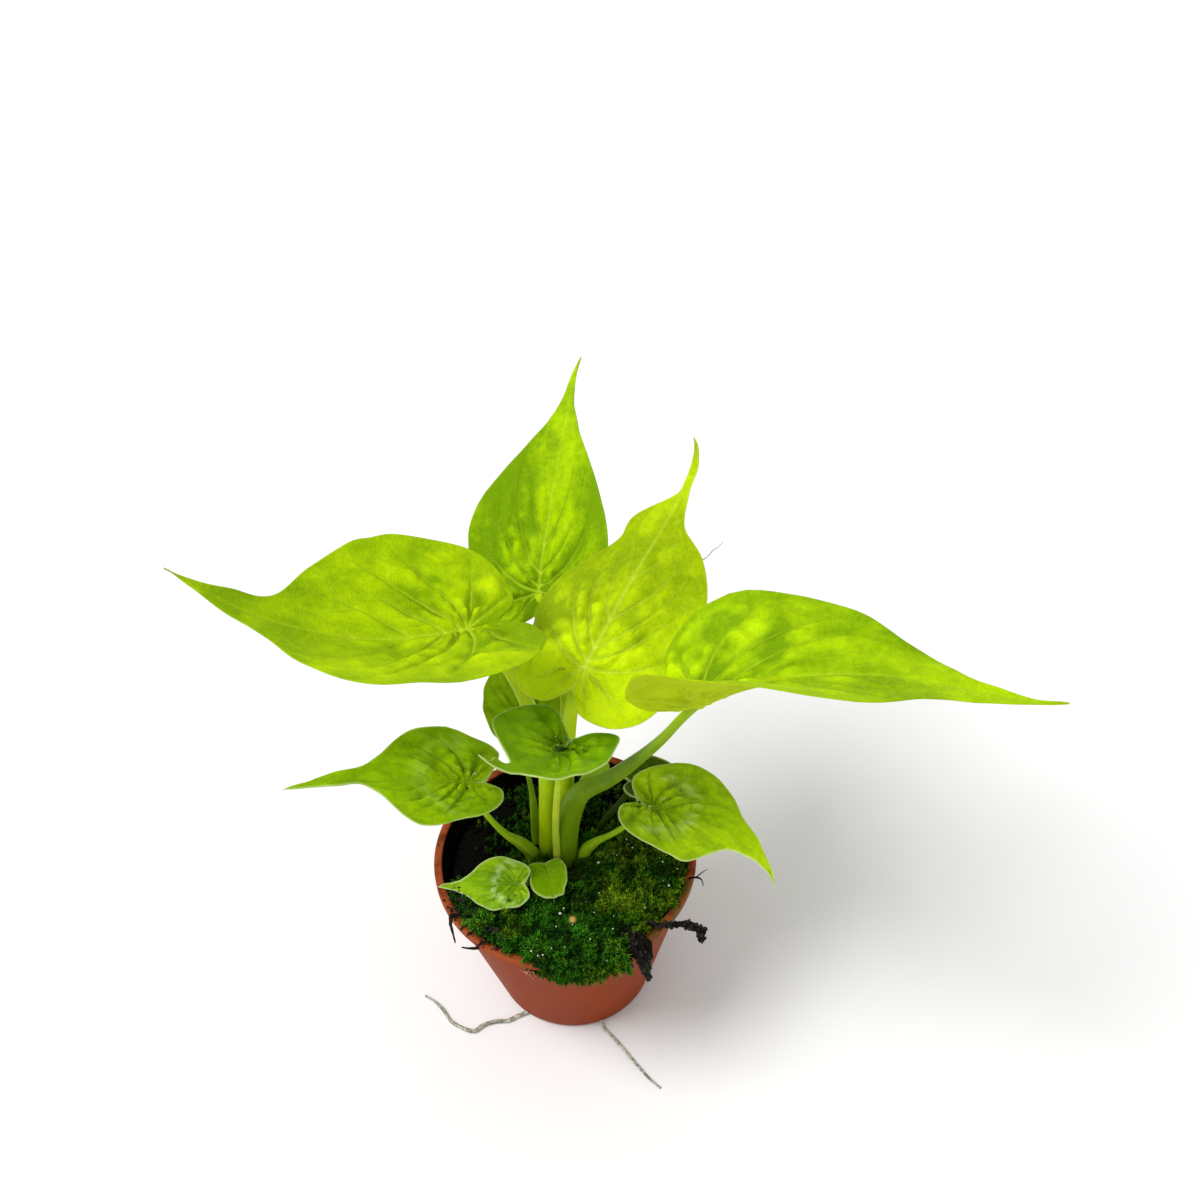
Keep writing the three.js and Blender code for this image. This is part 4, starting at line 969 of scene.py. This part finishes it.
def crumbs(places, sizes, draw):
    """Rough grains: twelve-cornered balls with each corner pushed in or out at random. No masks."""
    g = (1 + 5 ** 0.5) / 2
    corners = np.array([(-1, g, 0), (1, g, 0), (-1, -g, 0), (1, -g, 0), (0, -1, g), (0, 1, g), (0, -1, -g),
                        (0, 1, -g), (g, 0, -1), (g, 0, 1), (-g, 0, -1), (-g, 0, 1)]) / math.hypot(1, g)
    faces = [(0, 11, 5), (0, 5, 1), (0, 1, 7), (0, 7, 10), (0, 10, 11), (1, 5, 9), (5, 11, 4),
             (11, 10, 2), (10, 7, 6), (7, 1, 8), (3, 9, 4), (3, 4, 2), (3, 2, 6), (3, 6, 8), (3, 8, 9),
             (4, 9, 5), (2, 4, 11), (6, 2, 10), (8, 6, 7), (9, 8, 1)]
    count = len(places)
    shape = corners * draw.uniform(0.7, 1.2, (count, 12, 1)) * draw.uniform(0.6, 1.2, (count, 1, 3))
    points = places[:, None] + shape * np.reshape(sizes, (-1, 1, 1))
    return points.reshape(-1, 3), repeated(faces, 12, count), {}


def tube_mesh(route, radii, seed, sides, rough):
    """A round tube along a route whose radius is eased through radii and roughened by noise."""
    share, middle, _, side, front, length = swept(np.array(route, float), 12 * len(route))
    angle, run = around(sides), share[:, None] * length / 1.4
    uneven = rough * lumps(2.2 * np.cos(angle) + run, 2.2 * np.sin(angle) + 20, seed)
    return shell(tube(middle, side, front, eased(share, radii)[:, None] * (0.92 + uneven), angle))


def joined(parts):
    """Several meshes as one, without masks: their points and faces in a row."""
    starts = np.cumsum([0, *(len(points) for points, _, _ in parts)])
    return (np.concatenate([points for points, _, _ in parts]),
            np.concatenate([faces + start for (_, faces, _), start in zip(parts, starts)]), {})


class TaroProperties(bpy.types.PropertyGroup):
    """Sizes and colours of the plant and its pot."""
    blade_thickness: bpy.props.FloatProperty(
        name="Blade Thickness", description="Thickness of every leaf blade", default=0.00042, unit="LENGTH")
    relief: bpy.props.FloatProperty(
        name="Relief", description="Strength of the puffs between the veins", default=1.0, subtype="FACTOR")
    moss_shoots: bpy.props.IntProperty(
        name="Moss Shoots", description="Number of shoots on each half of the mat", default=5200)
    sparse_shoots: bpy.props.IntProperty(
        name="Sparse Shoots", description="Number of moss shoots on the bare soil", default=1700)
    moss_height: bpy.props.FloatProperty(
        name="Moss Height", description="Length of a moss shoot", default=0.003, unit="LENGTH")
    crumbs: bpy.props.IntProperty(name="Crumbs", description="Number of crumbs on the soil", default=900)
    pot_color: bpy.props.FloatVectorProperty(
        name="Pot Colour", description="Colour of the pot's plastic", default=linear((0.57, 0.225, 0.06)),
        subtype="COLOR", size=3)


class StageProperties(bpy.types.PropertyGroup):
    """The camera, the lights and the floor."""
    elevation: bpy.props.FloatProperty(
        name="Elevation", description="Camera angle above the horizon", default=math.radians(48.85),
        subtype="ANGLE")
    roll: bpy.props.FloatProperty(
        name="Roll", description="Camera turn about its own axis", default=math.radians(-3.77),
        subtype="ANGLE")
    distance: bpy.props.FloatProperty(
        name="Distance", description="From the camera to what it looks at", default=0.45, unit="LENGTH")
    lens: bpy.props.FloatProperty(
        name="Lens", description="Focal length in millimetres", default=67.76)
    key: bpy.props.FloatProperty(
        name="Key Light", description="Strength of the soft light from the left", default=2.05)
    softness: bpy.props.FloatProperty(
        name="Softness", description="Width of the key light as the plant sees it", default=math.radians(30),
        subtype="ANGLE")
    sky: bpy.props.FloatProperty(name="Sky", description="Strength of the even light all round", default=0.66)


class TARO_OT_blades(bpy.types.Operator):
    """Build the leaf blades"""
    bl_idname = "taro.blades"
    bl_label = "Leaf Blades"

    def execute(self, context):
        settings = context.scene.taro
        for leaf in LEAVES:
            name = leaf["name"]
            blade = blade_mesh(leaf, settings.blade_thickness / MM, settings.relief)
            slot = "golden_blade" if name in GOLDEN_LEAVES else "green_blade"
            add_piece(f"leaf_{name}", blade, blade_material(leaf), f"blade_{name}")
        return {"FINISHED"}


class TARO_OT_stalks(bpy.types.Operator):
    """Build the leaf stalks with their sheaths"""
    bl_idname = "taro.stalks"
    bl_label = "Leaf Stalks"

    def execute(self, context):
        for leaf in LEAVES:
            name = leaf["name"]
            add_piece(f"petiole_{name}", stalk_mesh(leaf), stalk_material(leaf), f"stalk_{name}")
            if leaf["wing"]:
                pale = {**leaf, "name": f"{name} wing", "stalk": leaf["wing"]}
                add_piece(f"sheath_{name}", sheath_wing(leaf), stalk_material(pale))
        return {"FINISHED"}


class TARO_OT_pot(bpy.types.Operator):
    """Build the pot as a turned section with drain notches"""
    bl_idname = "taro.pot"
    bl_label = "Nursery Pot"

    def execute(self, context):
        pot = add_piece("nursery_pot", pot_mesh(), pot_material(context.scene.taro.pot_color), "pot")
        cutters = [drain_cutter(math.radians(degrees)) for degrees in DRAIN_ANGLES]
        for cutter in cutters:
            notch = pot.modifiers.new("notch", "BOOLEAN")
            notch.object = cutter
            notch.solver = "EXACT"
        cut = pot.evaluated_get(context.evaluated_depsgraph_get())
        pot.data = bpy.data.meshes.new_from_object(cut)
        pot.modifiers.clear()
        pot.data.set_sharp_from_angle(angle=math.radians(SMOOTH_ANGLE))
        for cutter in cutters:
            bpy.data.objects.remove(cutter)
        return {"FINISHED"}


def drain_cutter(angle):
    """A round bar across the corner between the pot's wall and its floor."""
    route = [(BASE_RADIUS + off, 0, 1) for off in (-3, 0, 3)]
    points, faces, _ = tube_mesh(route, (DRAIN_RADIUS, DRAIN_RADIUS), 1, 24, 0)
    cutter = new_object("bar", points, faces)
    cutter.data.transform(Matrix.Rotation(angle, 4, "Z"))
    return cutter


class TARO_OT_soil(bpy.types.Operator):
    """Finish the soil and strew crumbs on it"""
    bl_idname = "taro.soil"
    bl_label = "Soil"

    def execute(self, context):
        dark = soil_material("soil")
        for node in ("soil", "stem"):
            dress(frame["nodes"][node], dark)
        draw = np.random.default_rng(11)
        places, _ = scattered(frame["nodes"]["soil"], context.scene.taro.crumbs, draw, level_inside(0.5, 29))
        sizes = draw.uniform(0.25, 0.95, len(places)) ** 1.5
        add_piece("soil_crumbs", crumbs(places + [0, 0, 0.1], sizes, draw), soil_material("crumbs"))
        return {"FINISHED"}


def dress(node, material):
    """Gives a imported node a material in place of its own."""
    node.data.materials.clear()
    node.data.materials.append(material)


def level_inside(up, reach):
    """Wants places whose normal rises by more than up and that lie less than reach from the pot's axis."""
    return lambda middle, normal: (normal[:, 2] > up) * (np.hypot(middle[:, 0], middle[:, 1]) < reach)


class TARO_OT_moss(bpy.types.Operator):
    """Grow moss shoots on the mat and on the bare soil"""
    bl_idname = "taro.moss"
    bl_label = "Moss"

    def execute(self, context):
        settings = context.scene.taro
        height = settings.moss_height / MM
        mat = frame["nodes"]["moss"]
        dress(mat, moss_material("moss mat", False))
        material = moss_material("moss shoots", True)
        for name, side, seed in (("left", -1, 21), ("right", 1, 22)):
            here = lambda middle, normal: (
                mossy(middle) * (normal[:, 2] > -0.2) * (side * (middle[:, 0] - 4) > 0))
            draw = np.random.default_rng(seed)
            foot, normal = scattered(mat, settings.moss_shoots, draw, here)
            outer = smooth(np.hypot(foot[:, 0], foot[:, 1]), 24.5, 26.5)[:, None]
            outward = outer * unit(foot * [1, 1, 0]) * 0.9
            axis = unit(normal + [0, 0, 0.5] + outward + 0.45 * draw.normal(size=foot.shape))
            clump = 0.7 + 0.6 * lumps(foot[:, 0] / 2.2 + 9, foot[:, 1] / 2.2 + 9, 5)
            tall = height * draw.uniform(0.5, 1.25, len(foot)) * clump
            wide = 0.4 * tall + 0.2
            points, faces, high = leaflets(foot - 0.3 * axis, axis, tall, wide, draw, SHOOT_SPIKES)
            high = high * np.repeat(clump * draw.uniform(0.5, 1.9, len(foot)), 4 * SHOOT_SPIKES)
            add_piece(f"moss_shoots_{name}", (points, faces, dict(high=high)), material)
        draw = np.random.default_rng(25)
        foot, normal = scattered(frame["nodes"]["soil"], settings.sparse_shoots, draw, sparse_moss)
        axis = unit(normal + [0, 0, 0.5] + 0.45 * draw.normal(size=foot.shape))
        tall = height * draw.uniform(0.5, 1, len(foot))
        wide = 0.42 * tall + 0.2
        points, faces, high = leaflets(foot - 0.2 * axis, axis, tall, wide, draw, SHOOT_SPIKES)
        add_piece("moss_shoots_sparse", (points, faces, dict(high=0.75 * high)), material)
        return {"FINISHED"}


def mossy(place):
    """1 where shoots grow: clear of the rim except where the mat hangs over it, and of the hollow."""
    x, y, z = place.T
    over = np.abs(np.degrees(np.arctan2(y, x)) - MOSS_OVERHANG[0]) < MOSS_OVERHANG[1]
    hollow = np.hypot(x - MOSS_HOLLOW[0], y - MOSS_HOLLOW[1]) < MOSS_HOLLOW[2]
    return ((z > MOSS_FOOT) & ((np.hypot(x, y) < MOSS_REACH) | over) & ~hollow).astype(float)


def sparse_moss(place, normal):
    """The share of shoots that grow out on the bare soil: more to the right and near the stalks."""
    x, y, _ = place.T
    patchy = smooth(lumps(x / 3.5 + 20, y / 3.5 + 20, 8), -0.5, 0.4)
    thick = smooth(x + 0.35 * np.abs(y - 6), -17, -7) * patchy
    return (0.03 + thick) * level_inside(0.6, 26)(place, normal)


class TARO_OT_roots(bpy.types.Operator):
    """Build the roots that have grown out of the pot, the fine ones on its wall and a stray thread"""
    bl_idname = "taro.roots"
    bl_label = "Roots"

    def execute(self, context):
        for seed, root in enumerate(ROOTS):
            strands = [tube_mesh(route, root["radii"], seed, 16, root["rough"]) for route in root["routes"]]
            node = f"root_{root['name']}"
            add_root(f"rootlet_{root['name']}", strands, node, root["skin"], node)
        for name, (skin, hairs) in WALL_HAIRS.items():
            strands = [tube_mesh(wall_route(route), (wide, wide, 0.4 * wide), 60 + number, 6, 0.3)
                       for number, (wide, route) in enumerate(hairs)]
            add_root(name, strands, name, skin)
        add_root("stray_thread", [tube_mesh(THREAD, THREAD_RADII, 70, 6, 0.1)], "thread", "grey")
        return {"FINISHED"}


def add_root(name, strands, title, skin, replaced=None):
    """One piece of several strands, which stay above the ground, with the named skin."""
    points, faces, masks = joined(strands)
    points[:, 2] = np.maximum(points[:, 2], LOWEST)
    slot = "dark_root" if skin == "black" else "root"
    add_piece(name, (points, faces, masks), root_material(title, SKINS[skin]), replaced)


def wall_route(route):
    """Places in millimetres from the angle round the pot, the height, and the distance off its wall."""
    turned, z, off = np.array(route, float).T
    radius = wall_radius(z) + off
    return np.stack([radius * np.cos(np.radians(turned)), radius * np.sin(np.radians(turned)), z], -1)


def root_material(name, skin):
    """Skin of a root with flecks that go from its dark to its light colour."""
    shader = Shader(f"skin of {name}", Roughness=0.75, Specular_IOR_Level=0.1)
    grain = shader.noise(700, 4, 0.7)
    color = shader.mix(grain.step(0.35, 0.65), linear(skin[0]), linear(skin[1]))
    return shader.paint(color, 0.5 + grain * 0.4, grain, 0.0005)


class TARO_OT_litter(bpy.types.Operator):
    """Strew grit on the leaves, specks on the moss and soil, dirt on the rim and roots, and a bark chip"""
    bl_idname = "taro.litter"
    bl_label = "Litter"

    def execute(self, context):
        draw = np.random.default_rng(41)
        objects, nodes = bpy.data.objects, frame["nodes"]
        places = []
        for leaf in LEAVES:
            if leaf["litter"]:
                at, wide = np.array(leaf["at"], float), 0.09 * leaf["length"]
                here = lambda middle, normal: (normal[:, 2] > 0.1) * np.exp(
                    -(np.linalg.norm(middle - at, axis=1) / wide) ** 2)
                places.append(scattered(objects[f"leaf_{leaf['name']}"], leaf["litter"], draw, here)[0])
        strew("leaf_grit", np.concatenate(places) + [0, 0, 0.1], LEAF_GRIT, draw)
        up = lambda middle, normal: mossy(middle) * (normal[:, 2] > 0.5)
        places, _ = scattered(nodes["moss"], MOSS_SPECKS[0], draw, up)
        strew("moss_specks", places + [0, 0, 2], MOSS_SPECKS, draw)
        turned = np.radians(draw.uniform(-165, -122, RIM_DIRT[0]))
        radius = 25.5 + 4.6 * draw.random(RIM_DIRT[0]) ** 1.5
        height = POT_HEIGHT + 0.5 * (29.5 - radius) + 0.3
        places = np.stack([radius * np.cos(turned), radius * np.sin(turned), height], -1)
        strew("rim_dirt", places, RIM_DIRT, draw)
        places, _ = scattered(nodes["soil"], SOIL_SPECKS[0], draw, level_inside(0.6, 26))
        strew("soil_specks", places + [0, 0, 0.5], SOIL_SPECKS, draw)
        for name in ("rootlet_rim_front", "rootlet_rim_right"):
            places, _ = scattered(objects[name], ROOT_DIRT[0], draw, lambda middle, normal: 1)
            strew(f"dirt_on_{name}", places, ROOT_DIRT, draw)
        low = lambda middle, normal: 1 * (np.abs(middle[:, 2] - 41.5) < 2.8) * (middle[:, 0] > 15.8)
        foot, normal = scattered(objects["rootlet_rim_front"], ROOT_SHOOTS, draw, low)
        tall = draw.uniform(0.8, 1.5, ROOT_SHOOTS)
        points, faces, high = leaflets(foot, unit(normal + [0, 0, 0.4]), tall, 0.5 * tall, draw, 6)
        green = moss_material("moss on the root", True)
        add_piece("moss_shoots_root", (points, faces, dict(high=1.2 * high)), green)
        points, faces, _ = crumbs(np.array([BARK_CHIP]), 1, draw)
        points = BARK_CHIP + (points - BARK_CHIP) * CHIP_FLAT
        points = points.mean(0) + (points - points.mean(0)) * CHIP_SPREAD
        masks = dict(pale=np.ones(len(points)))
        add_piece("bark_chip", (points, faces, masks), litter_material("bark", BARK_COLORS))
        return {"FINISHED"}


def strew(name, places, grains, draw):
    """Grains at places, in the sizes and with the share of pale ones that grains gives. The pale ones are
    painted glints of water drops, and on the moss and soil partly perlite.
    """
    _, sizes, share = grains
    points, faces, _ = crumbs(places, draw.uniform(*sizes, len(places)), draw)
    pale = np.repeat((draw.random(len(places)) < share) * 1.0, 12)
    add_piece(name, (points, faces, dict(pale=pale)), litter_material(name, CREAM_AND_GLINT_COLORS))


def litter_material(name, pale):
    """Dark brown grit, and pale grains between two colours: the bark chip, and specks that are partly
    perlite and partly painted glints of water drops.
    """
    shader = Shader(name, Roughness=0.6, Specular_IOR_Level=0.3)
    fine = shader.noise(1800, 2, 0.6)
    dark = shader.mix(fine, linear((0.03, 0.03, 0.02)), linear((0.15, 0.12, 0.08)))
    light = shader.mix(fine, linear(pale[0]), linear(pale[1]))
    return shader.paint(shader.mix(shader.attribute("pale"), dark, light), 0.45 + fine * 0.3)


class TARO_OT_stage(bpy.types.Operator):
    """Set up the floor, the lights and the camera"""
    bl_idname = "taro.stage"
    bl_label = "Stage"

    def execute(self, context):
        settings = context.scene.taro_stage
        corners = FLOOR_REACH / MM * np.array([(-1, -1, 0), (1, -1, 0), (1, 1, 0), (-1, 1, 0)])
        floor = new_object("floor", corners, [(0, 1, 2, 3)])
        white = Shader("white floor", Roughness=0.9, Specular_IOR_Level=0.1)
        floor.data.materials.append(white.paint((0.9, 0.9, 0.9)))
        floor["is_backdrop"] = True
        add_key_light(settings)
        world = bpy.data.worlds.new("studio")
        world.use_nodes = True
        world.node_tree.nodes["Background"].inputs["Color"].default_value = (1, 1, 1, 1)
        world.node_tree.nodes["Background"].inputs["Strength"].default_value = settings.sky
        context.scene.world = world
        context.scene.view_settings.view_transform = "Standard"
        context.scene.camera = add_camera(settings)
        return {"FINISHED"}


def add_key_light(settings):
    """A sun as wide as a studio lamp, which shines from its place to the origin."""
    lamp = bpy.data.lights.new("key", "SUN")
    lamp.angle = settings.softness
    lamp.energy = settings.key
    holder = bpy.data.objects.new("key", lamp)
    holder.location = KEY_PLACE
    holder.rotation_euler = (-Vector(KEY_PLACE)).to_track_quat("-Z", "Y").to_euler()
    bpy.context.scene.collection.objects.link(holder)


def add_camera(settings):
    """A camera at a distance from a point over the pot, which looks down by its elevation."""
    camera = bpy.data.cameras.new("camera")
    camera.lens = settings.lens
    camera.clip_start = 0.01
    holder = bpy.data.objects.new("camera", camera)
    low = settings.elevation
    back = Vector((0, -math.cos(low), math.sin(low)))
    turned = Matrix.Rotation(math.pi / 2 - low, 4, "X") @ Matrix.Rotation(settings.roll, 4, "Z")
    place = Vector(CAMERA_TARGET) * MM + back * settings.distance
    holder.matrix_world = Matrix.Translation(place) @ turned
    bpy.context.scene.collection.objects.link(holder)
    return holder


class TARO_PT_panel(bpy.types.Panel):
    """Lists the settings and the pieces"""
    bl_idname = "TARO_PT_panel"
    bl_label = "Potted Golden Chinese Taro"
    bl_space_type = "VIEW_3D"
    bl_region_type = "UI"
    bl_category = "Taro"

    def draw(self, context):
        for group in (context.scene.taro, context.scene.taro_stage):
            for name in group.bl_rna.properties.keys():
                if name not in ("rna_type", "name"):
                    self.layout.prop(group, name)
        for operator in OPERATORS:
            self.layout.operator(operator.bl_idname)


OPERATORS = (TARO_OT_blades, TARO_OT_stalks, TARO_OT_pot, TARO_OT_soil, TARO_OT_moss, TARO_OT_roots,
             TARO_OT_litter, TARO_OT_stage)
CLASSES = (TaroProperties, StageProperties, *OPERATORS, TARO_PT_panel)


def register():
    for cls in CLASSES:
        bpy.utils.register_class(cls)
    bpy.types.Scene.taro = bpy.props.PointerProperty(type=TaroProperties)
    bpy.types.Scene.taro_stage = bpy.props.PointerProperty(type=StageProperties)


def unregister():
    del bpy.types.Scene.taro_stage
    del bpy.types.Scene.taro
    for cls in reversed(CLASSES):
        bpy.utils.unregister_class(cls)


def main():
    register()
    bpy.ops.taro.blades()
    bpy.ops.taro.stalks()
    bpy.ops.taro.pot()
    bpy.ops.taro.soil()
    bpy.ops.taro.moss()
    bpy.ops.taro.roots()
    bpy.ops.taro.litter()
    bpy.ops.taro.stage()
    sizes = dict(cad=[list(corner) for corner in CAD_BOX], visual=[list(corner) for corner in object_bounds()])


if __name__ == "__main__":
    main()
